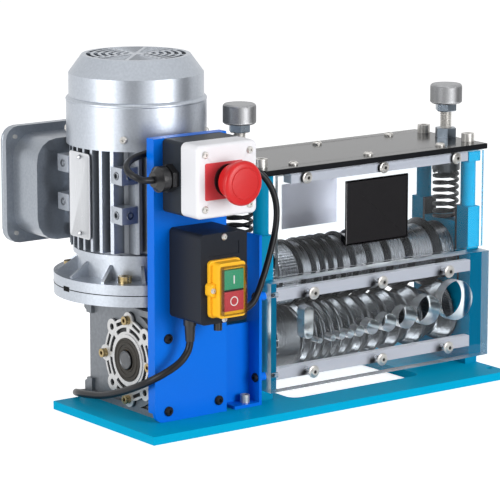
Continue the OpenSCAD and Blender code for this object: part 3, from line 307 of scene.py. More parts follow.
wound = [coil_point(k / COIL_STEPS) for k in range(COIL_STEPS * COIL_TURNS + 1)]
PLUG_X, PLUG_Z = COIL_CENTRE[0] + 48, 12.6
coil_end = wound[-1]
tail = [coil_end + Vector((9, 0, 0)) * MM, coil_end + Vector((22, 0, 0.3)) * MM,
        Vector((coil_end.x + 0.036, coil_end.y, coil_end.z + 0.8 * (PLUG_Z * MM - coil_end.z))),
        Vector((PLUG_X * MM, coil_end.y, PLUG_Z * MM)), Vector(((PLUG_X + 8) * MM, coil_end.y, PLUG_Z * MM))]
mains_line = smooth_route(mains_route, 5) + wound + tail
mains_lead = lead_curve("mains_lead", mains_line, LEAD_RADIUS * MM, lead_rubber)
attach(mains_lead, "frame")
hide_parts("mains_cord", "mains_coil")


# Plug and tie: a three pin plug moulded on the end of the mains lead, and a thin band round the coil,
# both of black rubber.
def dress(material, *names):
    """A CAD node keeps its shape and takes a finish."""
    for name in names:
        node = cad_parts[name]
        node.data.materials.clear()
        node.data.materials.append(material)


plug_rubber = finish_of("plug_rubber", rgb(34, 35, 38), rgb(48, 49, 53), rough=0.5, spread=0.15,
                        stretch=(500, 500, 500), bump=0.2)
dress(plug_rubber, "mains_plug", "coil_tie")

# Stop and motor leads: thinner black leads, one from the stop box down to the switch box, one from
# the stop box behind the cover and round the motor to its terminal box.
STOP_X, STOP_Z, STOP_HALF, GLAND_Y = -2, 240.7, 34, -60.5
motor_route = [(STOP_X - STOP_HALF - 2, GLAND_Y, STOP_Z), (-50, GLAND_Y, STOP_Z), (-60, GLAND_Y, STOP_Z),
               (-67, -59.3, 241.5), (-72, -54.5, 244), (-73.5, -46, 247.5), (-70, -37.5, 251),
               (-62, -31, 254.5), (-50, -26.5, 257), (-34, -24, 258.5), (-16, -27, 257), (4, -29, 252),
               (24, -26, 244), (42, -17, 236), (60.5, -6.5, 228), (69, 15, 222.5), (74, 38, 218.5),
               (73.5, 60, 216.8), (67, 76, 216.5), (61.3, 86, 216.5), (60, 94, 216.5), (60, 101, 216.5),
               (60, 110, 216.5)]
stop_route = [(STOP_X + STOP_HALF - 5, GLAND_Y, STOP_Z + 3), (STOP_X + STOP_HALF + 8, GLAND_Y, STOP_Z + 3),
              (53, -62.5, 241), (64, -66, 232.5), (72, -69, 219), (75, -71.5, 203), (72.5, -73.5, 184),
              (65, -75, 161), (54, -78, 138), (43, -81, 121), (33, -82, 114.2), (23, -82, 113), (19.5, -82, 113)]
for name, route, radius in (("motor_lead", motor_route, 3.25), ("stop_lead", stop_route, 3)):
    line = smooth_route(route, 6)
    lead = lead_curve(name + "_jacket", line, radius * MM, lead_rubber)
    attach(lead, "frame")
    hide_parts(name)

# Base plate and roller head frame: steel plates under a satin cyan powder coat, a deeper one on the
# head. The side plates are screwed to the base and carry the posts, the blocks and the sliders.
powder = (1400, 1400, 1400)
base_blue = finish_of("base_blue", rgb(0, 158, 200), rgb(0, 168, 210), rough=0.46, spread=0.1, stretch=powder,
                      bump=0.1, gloss=0.03)
head_blue = finish_of("head_blue", rgb(0, 124, 162), rgb(0, 134, 172), rough=0.4, spread=0.1, stretch=powder,
                      bump=0.08, gloss=0.06)
dress(base_blue, "base_plate")
dress(head_blue, "left_side_plate", "right_side_plate", "top_blocks", "top_posts", "slider_blocks")


# Worm gearbox: a sand cast aluminium box with lobed covers, and the dark rubber shaft seal that
# shows around the bright end of the output shaft.
def soften(width, *names):
    """The small rounded edge that paint or moulding leaves on a CAD node."""
    for name in names:
        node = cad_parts[name]
        weld = node.modifiers.new("weld", "WELD")
        weld.merge_threshold = 0.00001
        bevel = node.modifiers.new("edge", "BEVEL")
        bevel.width = width * MM
        bevel.segments = 2
        bevel.limit_method = "ANGLE"
        bevel.angle_limit = math.radians(40)
        bevel.profile = 0.5
        shade = node.modifiers.new("shade", "WEIGHTED_NORMAL")
        shade.weight = 100


def keep(name, bm, body, material, smooth=None):
    """A finished mesh becomes a piece that rides on a body; smooth is its sharp edge angle."""
    bmesh.ops.recalc_face_normals(bm, faces=bm.faces)
    data = bpy.data.meshes.new(name)
    bm.to_mesh(data)
    bm.free()
    if smooth:
        data.polygons.foreach_set("use_smooth", [True] * len(data.polygons))
        data.set_sharp_from_angle(angle=math.radians(smooth))
    data.materials.append(material)
    made = bpy.data.objects.new(name, data)
    scene.collection.objects.link(made)
    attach(made, body)
    return made


def turn_profile(bm, corners, centre, axis, steps=64):
    """Spin (along, radius) corners, in mm, about an axis through centre; returns the new verts."""
    along = {"X": Vector((1, 0, 0)), "Y": Vector((0, 1, 0)), "Z": Vector((0, 0, 1))}[axis]
    out = Vector((0, 0, 1)) if axis != "Z" else Vector((1, 0, 0))
    middle = Vector(centre) * MM
    verts = [bm.verts.new(middle + (along * a + out * r) * MM) for a, r in corners]
    edges = [bm.edges.new(pair) for pair in zip(verts, verts[1:])]
    before = set(bm.verts) - set(verts)
    bmesh.ops.spin(bm, geom=verts + edges, cent=middle, axis=along, angle=math.tau, steps=steps, use_merge=True)
    fresh = [v for v in bm.verts if v not in before]
    bmesh.ops.remove_doubles(bm, verts=fresh, dist=1e-7)
    return [v for v in bm.verts if v not in before]


def recess_shade_group():
    """A colour that gives way to a painted shade where a measure falls from high to low."""
    group, enter, out = new_group("painted_recess_shade", ("Colour", "Painted shade"), ("Measure", "Low", "High"), (),
                                  (("Colour", "NodeSocketColor"),))
    share, mix = add_nodes(group, "MapRange", "Mix")
    mix.data_type = "RGBA"
    group.links.new(enter.outputs["Measure"], share.inputs["Value"])
    group.links.new(enter.outputs["Low"], share.inputs["From Min"])
    group.links.new(enter.outputs["High"], share.inputs["From Max"])
    group.links.new(share.outputs[0], mix.inputs["Factor"])
    group.links.new(enter.outputs["Painted shade"], mix.inputs["A"])
    group.links.new(enter.outputs["Colour"], mix.inputs["B"])
    group.links.new(mix.outputs["Result"], out.inputs["Colour"])
    return group


RECESS_SHADE = recess_shade_group()


def paint_recess_shade(material, painted_shade, centre, across, low, high):
    """Painted shade where a surface lies nearer than low to high to a centre, measured along the across axes."""
    tree = material.node_tree
    colour = tree.nodes["Principled BSDF"].inputs["Base Color"]
    place, away, flat, reach, darken = add_nodes(tree, "TexCoord", "VectorMath", "VectorMath", "VectorMath",
                                                 "Group")
    away.operation, flat.operation, reach.operation = "SUBTRACT", "MULTIPLY", "LENGTH"
    away.inputs[1].default_value = centre
    flat.inputs[1].default_value = across
    darken.node_tree = RECESS_SHADE
    darken.inputs["Painted shade"].default_value = painted_shade
    darken.inputs["Low"].default_value = low
    darken.inputs["High"].default_value = high
    tree.links.new(place.outputs["Object"], away.inputs[0])
    tree.links.new(away.outputs["Vector"], flat.inputs[0])
    tree.links.new(flat.outputs["Vector"], reach.inputs[0])
    tree.links.new(reach.outputs["Value"], darken.inputs["Measure"])
    tree.links.new(colour.links[0].from_socket, darken.inputs["Colour"])
    tree.links.new(darken.outputs["Colour"], colour)


cast_grey = finish_of("cast_grey", rgb(208, 208, 208), rgb(186, 186, 186), rough=0.42, spread=0.2,
                      stretch=(260, 260, 260), metal=0.6, bump=0.3, depth=0.0003)
bronze = finish_of("bronze", rgb(176, 134, 74), rgb(150, 112, 60), rough=0.35, spread=0.15,
                   stretch=(40, 900, 900), metal=1.0)
cast_dark = finish_of("cast_dark", rgb(134, 138, 143), rgb(110, 114, 119), rough=0.46, spread=0.2,
                      stretch=(260, 260, 260), metal=0.6, bump=0.3, depth=0.0003)
# Painted shade: the covers turn dark grey toward the floors of their slots.
SLOT_FLOOR, SLOT_BRIM = 0.0366, 0.0385
paint_recess_shade(cast_grey, rgb(58, 59, 60), (0, 0, 0), (1, 0, 0), SLOT_FLOOR, SLOT_BRIM)
dress(cast_dark, "gearbox_housing")
dress(cast_grey, "gearbox_covers")
dress(bronze, "worm_wheel")
soften(0.8, "gearbox_housing")
seal_rubber = finish_of("seal_rubber", rgb(40, 38, 34), rgb(58, 54, 48), rough=0.5, spread=0.15,
                        stretch=(700, 700, 700), bump=0.2)
ROLLER_Y, LOWER_Z = 8, 58
seal = bmesh.new()
turn_profile(seal, [(-39.05, 9.4), (-40.3, 9.4), (-41, 10.2), (-41, 11.4), (-40.4, 12), (-40.4, 14), (-41, 14.6),
                    (-41, 16.4), (-40.4, 17), (-40.4, 18.4), (-41, 19), (-41, 20.2), (-40.6, 20.8), (-40.02, 20.8),
                    (-40.02, 15.7), (-39.05, 15.7), (-39.05, 9.4)], (0, ROLLER_Y, LOWER_Z), "X", 72)
keep("shaft_seal", seal, "frame", seal_rubber, 30)


# Motor: a finned aluminium casting, its flange, fan cowl and terminal box, all under one hammered silver
# enamel, with painted shade between the fins and a darker copy of the enamel on the terminal box as
# painted shade. Yellow zinc screws hold the flange and the cowl.
def block(bm, centre, size):
    """A plain block, in mm."""
    wide, deep, high = (length * MM for length in size)
    bmesh.ops.create_cube(bm, size=1, matrix=Matrix.Translation(Vector(centre) * MM)
                          @ Matrix.Diagonal((wide, deep, high, 1)))


enamel = (420, 420, 420)
motor_silver, body_silver = (finish_of(name, rgb(190, 196, 204), rgb(162, 168, 177), rough=0.35, spread=0.1,
                                       stretch=enamel, metal=0.8, bump=0.2, depth=0.0003)
                             for name in ("motor_silver", "body_silver"))
# The terminal box and its lid take a darker copy of the motor enamel: painted shade.
terminal_box_shaded_silver = finish_of("terminal_box_shaded_silver", rgb(164, 170, 178), rgb(140, 146, 154), rough=0.32, spread=0.1,
                       stretch=enamel, metal=0.8, bump=0.2, depth=0.0003)
fan_plastic = finish_of("fan_plastic", rgb(34, 34, 36), rgb(46, 46, 48), rough=0.5, spread=0.1,
                        stretch=(500, 500, 500))
gold_zinc = finish_of("gold_zinc", rgb(176, 158, 116), rgb(150, 130, 92), rough=0.28, spread=0.16,
                      stretch=(160, 160, 160), metal=1.0)
MOTOR_Y, FIN_FOOT, FIN_TIP = 48, 0.055, 0.0625
# Painted shade: the body turns a darker grey toward the foot of its fins.
paint_recess_shade(body_silver, rgb(112, 116, 122), (0, MOTOR_Y * MM, 0), (1, 1, 0), FIN_FOOT, FIN_TIP)
dress(motor_silver, "gearbox_flange", "motor_flange", "motor_cowl")
dress(body_silver, "motor_body")
dress(terminal_box_shaded_silver, "terminal_box", "terminal_lid")
dress(fan_plastic, "motor_fan")
dress(gold_zinc, "drive_screws")
soften(1.4, "terminal_box", "terminal_lid")
SEAM_Z = 124
seam = bmesh.new()
turn_profile(seam, [(SEAM_Z - 0.4, 79), (SEAM_Z - 0.4, 80.15), (SEAM_Z + 0.4, 80.15), (SEAM_Z + 0.4, 79)],
             (0, MOTOR_Y, 0), "Z", 96)
block(seam, (-79.3, MOTOR_Y + 1.5, SEAM_Z), (2, 9, 4.6))
seam_dark = finish_of("seam_dark", rgb(10, 10, 11), rgb(18, 18, 19), rough=0.7, spread=0.1,
                      stretch=(500, 500, 500), gloss=0.1)
keep("flange_seam", seam, "frame", seam_dark, 35)
bead = bmesh.new()
turn_profile(bead, [(297.2, 65.8), (297.4, 66.5), (298.2, 66.8), (299.2, 66.6), (300.2, 65.9), (301, 64.9),
                    (301.6, 63.9), (301.7, 63.4)], (0, MOTOR_Y, 0), "Z", 96)
keep("cowl_bead", bead, "frame", motor_silver, 60)
LUG_ROWS, LUG_ASIDE = (198, 235), 45 * MM
lugs = bmesh.new()
for quarter in range(4):
    for z in LUG_ROWS:
        for face in ("X", "Y"):
            head = turn_profile(lugs, [(53.2, 3.85), (54.5, 3.75), (54.7, 3.5), (54.7, 2.3)], (0, 0, 0), "X", 24)
            head += turn_profile(lugs, [(54.7, 2.35), (52.9, 2.3), (52.9, 0)], (0, 0, 0), "X", 6)
            if face == "X":
                aside = Matrix.Translation((0, LUG_ASIDE, 0))
            else:
                aside = Matrix.Translation((LUG_ASIDE, 0, 0)) @ Matrix.Rotation(math.pi / 2, 4, "Z")
            around = Matrix.Rotation(quarter * math.pi / 2, 4, "Z") @ aside
            bmesh.ops.transform(lugs, matrix=Matrix.Translation(Vector((0, MOTOR_Y, z)) * MM) @ around, verts=head)
lug_steel = finish_of("lug_steel", rgb(140, 144, 150), rgb(112, 116, 122), rough=0.3, spread=0.16,
                      stretch=(300, 300, 300), metal=1.0)
keep("lug_screws", lugs, "frame", lug_steel, 30)


# Rating plate: a bare aluminium plate, rounded at its corners and with a fine pressed border, held to
# the middle fins of the motor by two rivets.
def edges_along(bm, axis, least):
    """The edges that run more than least mm along an axis, 0 to 2."""
    return [e for e in bm.edges if abs(e.verts[0].co[axis] - e.verts[1].co[axis]) > least * MM]


def round_edges(bm, edges, radius, segments):
    """A round of that many mm on some edges."""
    bmesh.ops.bevel(bm, geom=edges, offset=radius * MM, segments=segments, profile=0.5, affect="EDGES",
                    material=-1)


plate_alu = finish_of("plate_alu", rgb(206, 208, 211), rgb(190, 192, 196), rough=0.3, spread=0.16,
                      stretch=(60, 1200, 60), metal=0.9)
PLATE_X, PLATE_THICK = -64.6, 0.8
plate = bmesh.new()
block(plate, (PLATE_X, MOTOR_Y, 212), (PLATE_THICK, 34, 81))
round_edges(plate, edges_along(plate, 0, 0.5), 3, 4)
face = [f for f in plate.faces if f.calc_center_median().x < (PLATE_X - 0.3) * MM]
bmesh.ops.inset_region(plate, faces=face, thickness=2 * MM, depth=0)
bmesh.ops.inset_region(plate, faces=face, thickness=0.5 * MM, depth=-0.25 * MM)
for z in (176, 248):
    turn_profile(plate, [(-67.2, 0), (-67, 1.1), (-66.3, 1.9), (-65, 2.2)], (0, MOTOR_Y, z), "X", 20)
keep("rating_plate", plate, "frame", plate_alu, 35)

# Sheet metal: the upright cover and the angle bracket, folded steel in a glossy bright blue powder
# coat, held to base and side by black socket screws.
sheet_blue = finish_of("sheet_blue", rgb(0, 104, 216), rgb(0, 112, 224), rough=0.32, spread=0.08,
                       stretch=powder, bump=0.06, gloss=0.12)
black_screw = finish_of("black_screw", rgb(30, 30, 33), rgb(48, 48, 52), rough=0.34, spread=0.16,
                        stretch=(420, 420, 420), metal=0.7)
dress(sheet_blue, "cover_plate", "bracket_plate")
dress(black_screw, "cover_screws")

# Stop control: a moulded box in a grey and a white half, screwed to the cover plate. On its front are
# a plain red plate, a black collar and a red mushroom with a turned ring on its face.
box_grey = finish_of("box_grey", rgb(30, 35, 42), rgb(38, 43, 50), rough=0.46, spread=0.12,
                     stretch=(900, 900, 900), bump=0.2, gloss=0.15)
box_white = finish_of("box_white", rgb(230, 230, 234), rgb(224, 225, 229), rough=0.42, spread=0.1,
                      stretch=(900, 900, 900), bump=0.2)
ring_black = finish_of("ring_black", rgb(22, 22, 24), rgb(32, 32, 34), rough=0.3, spread=0.12,
                       stretch=(600, 600, 600), gloss=0.5)
legend_red = finish_of("legend_red", rgb(206, 62, 70), rgb(214, 74, 80), rough=0.4, spread=0.1,
                       stretch=(700, 700, 700))
mushroom_red = finish_of("mushroom_red", rgb(194, 30, 32), rgb(202, 38, 40), rough=0.34, spread=0.1,
                         stretch=(600, 600, 600), gloss=0.3)
dress(box_grey, "estop_base")
dress(ring_black, "estop_collar", "cable_glands")
dress(mushroom_red, "estop_stem")
soften(1.2, "estop_base")
STOP_FRONT, STOP_SPLIT, STOP_WALL, STOP_BORE, STOP_ROOM = -99.5, -75, 3, 11, 27
STOP_DEEP = STOP_SPLIT - STOP_FRONT
shell = bmesh.new()
stop_middle = Vector((STOP_X, STOP_FRONT, STOP_Z)) * MM
block(shell, (STOP_X, (STOP_FRONT + STOP_SPLIT) / 2, STOP_Z), (2 * STOP_HALF, STOP_DEEP, 2 * STOP_HALF))
round_edges(shell, edges_along(shell, 1, 1), 5.5, 16)
face = min(shell.faces, key=lambda f: f.calc_center_median().y)
round_edges(shell, list(face.edges), 3.4, 6)
face = min(shell.faces, key=lambda f: f.calc_center_median().y)
bmesh.ops.inset_region(shell, faces=[face], thickness=4 * MM)
for bore, depth in ((STOP_BORE, 0), (STOP_BORE, STOP_WALL), (STOP_ROOM, STOP_WALL), (STOP_ROOM, STOP_DEEP)):
    if depth:
        face = bmesh.ops.extrude_discrete_faces(shell, faces=[face])["faces"][0]
    for vert in face.verts:
        arm = vert.co - stop_middle
        vert.co = stop_middle + Vector((arm.x, 0, arm.z)).normalized() * bore * MM + Vector((0, depth * MM, 0))
outer = [f for f in shell.faces if f is not face and len(f.verts) > 8]
rims = [e for f in outer + [face] for e in f.edges]
bmesh.ops.delete(shell, geom=outer + [face], context="FACES_ONLY")
bmesh.ops.bridge_loops(shell, edges=rims)
stop_shell = keep("stop_shell", shell, "frame", box_white, 40)
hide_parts("estop_cover")
legend = bmesh.new()
block(legend, (-6, STOP_FRONT - 0.3, STOP_Z), (42, 0.56, 34))
round_edges(legend, edges_along(legend, 1, 0.3), 1.6, 3)
keep("legend_plate", legend, "frame", legend_red, 35)
cap = bmesh.new()
CAP_R = 20.5
turn_profile(cap, [(0, 7.1), (0, CAP_R * 0.76), (-0.6, CAP_R * 0.78), (-3, CAP_R * 0.8), (-8, CAP_R * 0.84),
                   (-10.5, CAP_R * 0.89), (-12.4, CAP_R * 0.97), (-13, CAP_R * 0.995), (-14.5, CAP_R),
                   (-16.5, CAP_R), (-17.6, CAP_R * 0.975), (-18.4, CAP_R * 0.93), (-18.9, CAP_R * 0.87),
                   (-19.2, CAP_R * 0.8), (-19.35, CAP_R * 0.74), (-18.9, CAP_R * 0.72), (-18.9, CAP_R * 0.69),
                   (-19.45, CAP_R * 0.67), (-19.7, CAP_R * 0.5), (-19.9, CAP_R * 0.25), (-20, 0)],
             (STOP_X, STOP_FRONT - 7.5, STOP_Z), "Y", 72)
mushroom = keep("mushroom_head", cap, "stop_head", mushroom_red, 40)
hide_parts("estop_button")

# Switch: a black moulded box screwed to the cover plate, a yellow surround, green and red keys with
# their white I and O, and the clear amber boot that snaps over the keys to keep dust off.
box_black = finish_of("box_black", rgb(26, 30, 38), rgb(34, 38, 46), rough=0.4, spread=0.14,
                      stretch=(700, 700, 700), bump=0.2, gloss=0.12)
surround_yellow = finish_of("surround_yellow", rgb(254, 194, 46), rgb(250, 187, 38), rough=0.34, spread=0.1,
                            stretch=(600, 600, 600))
key_green = finish_of("key_green", rgb(46, 148, 110), rgb(52, 158, 118), rough=0.36, spread=0.08,
                      stretch=(500, 500, 500))
key_red = finish_of("key_red", rgb(186, 58, 68), rgb(194, 66, 76), rough=0.36, spread=0.08,
                    stretch=(500, 500, 500))
mark_white = finish_of("mark_white", rgb(244, 244, 244), rgb(236, 236, 236), rough=0.4, spread=0.05,
                       stretch=(500, 500, 500))
dress(box_black, "switch_box")
dress(surround_yellow, "switch_surround")
dress(key_green, "start_button")
dress(key_red, "stop_button")
soften(1.6, "switch_box")
soften(0.8, "switch_surround", "start_button", "stop_button")
KEY_X, KEY_FRONT, ON_Z, OFF_Z, KEYS_Z = -4.5, -113, 151, 131, 141
mark_on = bmesh.new()
block(mark_on, (KEY_X, KEY_FRONT - 0.05, ON_Z), (1.2, 0.5, 7.6))
round_edges(mark_on, list(mark_on.edges), 0.12, 2)
keep("key_mark_i", mark_on, "start_key", mark_white, 35)
mark_off = bmesh.new()
turn_profile(mark_off, [(0.2, 3.5), (-0.3, 3.5), (-0.3, 4.4), (0.2, 4.4)], (KEY_X, KEY_FRONT, OFF_Z), "Y", 40)
keep("key_mark_o", mark_off, "stop_key", mark_white, 35)
boot_clear = finish_of("boot_clear", rgb(96, 60, 30), rgb(108, 70, 36), rough=0.2, spread=0.08,
                       stretch=(500, 500, 500), bump=0.02)
boot_tree = boot_clear.node_tree
place, parts, flat, film = add_nodes(boot_tree, "TexCoord", "SeparateXYZ", "Math", "MapRange")
flat.operation = "ABSOLUTE"
for socket, value in (("From Min", 0.3), ("From Max", 0.95), ("To Min", 0.5), ("To Max", 0.06)):
    film.inputs[socket].default_value = value
boot_tree.links.new(place.outputs["Normal"], parts.inputs[0])
boot_tree.links.new(parts.outputs["Y"], flat.inputs[0])
boot_tree.links.new(flat.outputs[0], film.inputs["Value"])
boot_tree.links.new(film.outputs[0], boot_tree.nodes["Principled BSDF"].inputs["Alpha"])
BOOT_FRONT, BOOT_BACK = -116.4, -110.6
boot = bmesh.new()
block(boot, (KEY_X, (BOOT_FRONT + BOOT_BACK) / 2, KEYS_Z), (27, BOOT_BACK - BOOT_FRONT, 45.4))
bmesh.ops.delete(boot, geom=[f for f in boot.faces if f.normal.y > 0.9], context="FACES_ONLY")
round_edges(boot, [e for e in boot.edges if not e.is_boundary], 1.6, 4)
bmesh.ops.solidify(boot, geom=list(boot.faces), thickness=0.6 * MM)
keep("switch_boot", boot, "frame", boot_clear, 40)
divider = bmesh.new()
block(divider, (KEY_X, -111.7, KEYS_Z), (22, 2.2, 1.1))
keep("key_divider", divider, "frame", box_black)

# Bearings, guides and gears of the head: bright steel rings pressed into plates and sliders, black
# liners in the slideways, and steel spur gears with an oil film on the roller ends.
turned_steel = finish_of("turned_steel", rgb(200, 202, 206), rgb(170, 173, 178), rough=0.3, spread=0.2,
                         stretch=(1500, 30, 30), metal=1.0)
gear_steel = finish_of("gear_steel", rgb(150, 152, 156), rgb(120, 122, 126), rough=0.32, spread=0.2,
                       stretch=(300, 300, 300), metal=1.0)
liner_black = finish_of("liner_black", rgb(36, 37, 40), rgb(50, 51, 54), rough=0.45, spread=0.12,
                        stretch=(300, 300, 60), bump=0.2)
dress(turned_steel, "lower_bearings", "upper_bearings", "motor_rotor")
dress(gear_steel, "lower_gear", "upper_gear")
dress(liner_black, "guide_liners")


# Lower roller: one turned steel piece with the drive shaft at the left and ten graded V grooves,
# whose flanks carry fine milled teeth that draw the wire in.
def sink_columns(verts, centre_z, columns, depth, toothed_at):
    """Every second column of a turned roller sinks toward its axis and leaves teeth between."""
    for vert in verts:
        arm = Vector((0, vert.co.y - ROLLER_Y * MM, vert.co.z - centre_z * MM))
        if toothed_at(vert.co.x / MM) and round(math.atan2(arm.y, arm.z) / math.tau * columns) % 2:
            vert.co -= arm.normalized() * depth * MM


HOLE_X = [143, 158.8, 169.7, 179.9, 191.5, 207.5, 227.9, 250.6, 277.8, 314.5]
HOLE_D = [5.5, 6.5, 7.5, 8.5, 10.7, 14.7, 18, 22.4, 29.5, 40]
LAND, BODY_LEFT, BODY_RIGHT = 31, 109.5, 336
TEETH, TOOTH_DEPTH, TOOTH_ENDS, FLAT = 108, 1.1, (0.12, 0.88), 0.6
groove = [1.2 + 0.195 * d for d in HOLE_D]
edges_of = [(x - d / 2, x + d / 2) for x, d in zip(HOLE_X, HOLE_D)]
crest = [HOLE_X[0] - HOLE_D[0] / 2 - 4]
crest += [(a[1] + b[0]) / 2 for a, b in zip(edges_of, edges_of[1:])]
crest.append(BODY_RIGHT - 1.2)
corners = [(-43, 0), (-42.4, 7), (-43, 8.4), (-42.4, 9), (39, 9), (39, 10), (98.9, 10), (98.9, 12),
           (BODY_LEFT, 12), (BODY_LEFT, LAND - 0.5), (BODY_LEFT + 0.5, LAND)]
toothed = []
for i, x in enumerate(HOLE_X):
    left, right, low = crest[i] + FLAT, crest[i + 1] - FLAT, LAND - groove[i]
    corners.append((left, LAND))
    for start, end in ((left, x - FLAT), (x + FLAT, right)):
        top, bottom = (LAND, low) if start == left else (low, LAND)
        for share in TOOTH_ENDS:
            toothed.append(start + (end - start) * share)
            corners.append((toothed[-1], top + (bottom - top) * share))
        if start == left:
            corners += [(x - FLAT, low), (x + FLAT, low)]
    corners.append((right, LAND))
corners += [(BODY_RIGHT, LAND - 0.3), (BODY_RIGHT, 10), (354.4, 10), (355, 9.4), (355, 0)]
lower = bmesh.new()
sink_columns(turn_profile(lower, corners, (0, ROLLER_Y, LOWER_Z), "X", 2 * TEETH), LOWER_Z, 2 * TEETH, TOOTH_DEPTH,
             lambda along: min(abs(along - x) for x in toothed) < 0.001)
groove_steel = finish_of("groove_steel", rgb(108, 110, 113), rgb(76, 78, 81), rough=0.3, spread=0.2,
                         stretch=(900, 40, 40), metal=1.0)
grooved_roller = keep("grooved_roller", lower, "drive_line", groove_steel, 14)
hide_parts("lower_roller")

# Upper roller: turned steel spacers between the blades and a straight knurled band at the left that
# drives flat wire. The blades are dark hardened discs with a ground edge, clamped between spacers.
spacer_steel = finish_of("spacer_steel", rgb(140, 142, 146), rgb(104, 107, 112), rough=0.28, spread=0.2,
                         stretch=(1200, 30, 30), metal=1.0)
blade_steel = finish_of("blade_steel", rgb(52, 54, 58), rgb(34, 36, 40), rough=0.32, spread=0.18,
                        stretch=(800, 60, 60), metal=1.0)
UPPER_Z, SPACER_R, BLADE_BORE = 120, 28.6, 20
BAND_LEFT, BAND_RIGHT, BAND_COLUMNS, BAND_DEPTH = 117, 138.6, 128, 1.0
half = [2.3 + 0.085 * d for d in HOLE_D]
corners = [(84.5, 0), (84.5, 8), (85, 8.5), (98.9, 8.5), (98.9, 11), (BODY_LEFT, 11), (BODY_LEFT, 24),
           (BAND_LEFT, 24), (BAND_LEFT, 29.6), (BAND_LEFT + 0.8, 30.4), (BAND_RIGHT - 0.8, 30.4),
           (BAND_RIGHT, 29.6), (BAND_RIGHT, SPACER_R)]
for x, h in zip(HOLE_X, half):
    corners += [(x - h - 0.4, SPACER_R), (x - h, SPACER_R - 0.4), (x - h, BLADE_BORE), (x + h, BLADE_BORE),
                (x + h, SPACER_R - 0.4), (x + h + 0.4, SPACER_R)]
corners += [(BODY_RIGHT - 0.5, SPACER_R), (BODY_RIGHT, SPACER_R - 0.5), (BODY_RIGHT, 8.5), (354, 8.5),
            (354.5, 8), (354.5, 0)]
upper = bmesh.new()
sink_columns(turn_profile(upper, corners, (0, ROLLER_Y, UPPER_Z), "X", BAND_COLUMNS), UPPER_Z, BAND_COLUMNS,
             BAND_DEPTH, lambda along: BAND_LEFT + 0.5 < along < BAND_RIGHT - 0.6)
spaced_roller = keep("spaced_roller", upper, "upper_line", spacer_steel, 14)
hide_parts("upper_roller")
blades = bmesh.new()
for x, h, g in zip(HOLE_X, half, groove):
    tip, seat = LAND + 0.35 * g, BLADE_BORE + 0.02
    turn_profile(blades, [(x - h, seat), (x - h, 29.3), (x - h + 0.3, 29.6), (x - 0.7, tip - 0.5), (x, tip),
                          (x + 0.7, tip - 0.5), (x + h - 0.3, 29.6), (x + h, 29.3), (x + h, seat),
                          (x - h, seat)], (0, ROLLER_Y, UPPER_Z), "X", 96)
blade_set = keep("blade_set", blades, "upper_line", blade_steel, 20)
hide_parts("blade_discs")

# Top of the head: a gloss black lid plate on drawn aluminium bars, all held by bright socket screws
# with dark discs in their sockets as painted shade; one more screw holds the bracket's foot to the base.
lid_black = finish_of("lid_black", rgb(24, 25, 28), rgb(32, 33, 36), rough=0.16, spread=0.08,
                      stretch=(30, 900, 30), bump=0.04, gloss=0.22)
drawn_alu = finish_of("drawn_alu", rgb(216, 215, 220), rgb(206, 206, 212), rough=0.5, spread=0.14,
                      stretch=(20, 700, 700), metal=0.1)
nickel = finish_of("nickel", rgb(214, 212, 208), rgb(190, 188, 184), rough=0.34, spread=0.12,
                   stretch=(300, 300, 300), metal=0.7)
dress(lid_black, "top_plate")
dress(drawn_alu, "cross_bars")
dress(nickel, "panel_screws", "post_screws", "box_screws")
# Dark hex discs set in the screw sockets: painted shade where the sockets lie in shade.
painted_socket_shade = finish_of("painted_socket_shade", rgb(34, 33, 32), rgb(48, 47, 45), rough=0.6, spread=0.15,
                         stretch=(400, 400, 400))
PANEL_FRONT, WINDOW_FRONT, LID_TOP = -52, -42, 232.7
PANEL_SEATS = [(x, z) for x in (135, 219.5, 304) for z in (33, 110)]
WINDOW_SEATS = [(x, 220.3) for x in (134, 228, 320)]
LID_SEATS = [(x, y) for x in (125, 216, 307) for y in (-32, 48)]
SOCKET_R, SOCKET_DEEP = 1.8 * MM, 0.4 * MM
ACROSS, UPRIGHT = Matrix.Rotation(math.radians(90), 4, "X"), Matrix.Identity(4)
sockets = bmesh.new()
for seats, lean in (([(x, PANEL_FRONT - 2, z) for x, z in PANEL_SEATS], ACROSS),
                    ([(x, WINDOW_FRONT - 1.9, z) for x, z in WINDOW_SEATS], ACROSS),
                    ([(x, y, LID_TOP + 2) for x, y in LID_SEATS], UPRIGHT)):
    for seat in seats:
        bmesh.ops.create_cone(sockets, cap_ends=True, segments=6, radius1=SOCKET_R, radius2=SOCKET_R,
                              depth=SOCKET_DEEP, matrix=Matrix.Translation(Vector(seat) * MM) @ lean
                              @ Matrix.Rotation(math.radians(30), 4, "Z"))
heads = bmesh.new()
for front, inner, outer, seats in ((PANEL_FRONT, 4.7, 6.2, PANEL_SEATS), (WINDOW_FRONT, 4.3, 5.7, WINDOW_SEATS)):
    for x, z in seats:
        turn_profile(heads, [(-0.05, inner), (-0.05, outer), (-0.6, outer), (-1, outer - 0.5), (-1.2, inner)],
                     (x, front, z), "Y", 40)
keep("head_flanges", heads, "frame", nickel, 35)
keep("screw_sockets", sockets, "frame", painted_socket_shade, 35)
FOOT = (63, -38, 0)
foot = bmesh.new()
turn_profile(foot, [(11.05, 4.5), (11.05, 4.7), (18.2, 4.7), (18.7, 4.2), (18.7, 2.6)], FOOT, "Z", 32)
turn_profile(foot, [(18.7, 2.7), (15.6, 2.6), (15.6, 0)], FOOT, "Z", 6)
keep("foot_screw", foot, "frame", nickel, 30)
soften(0.5, "top_plate")


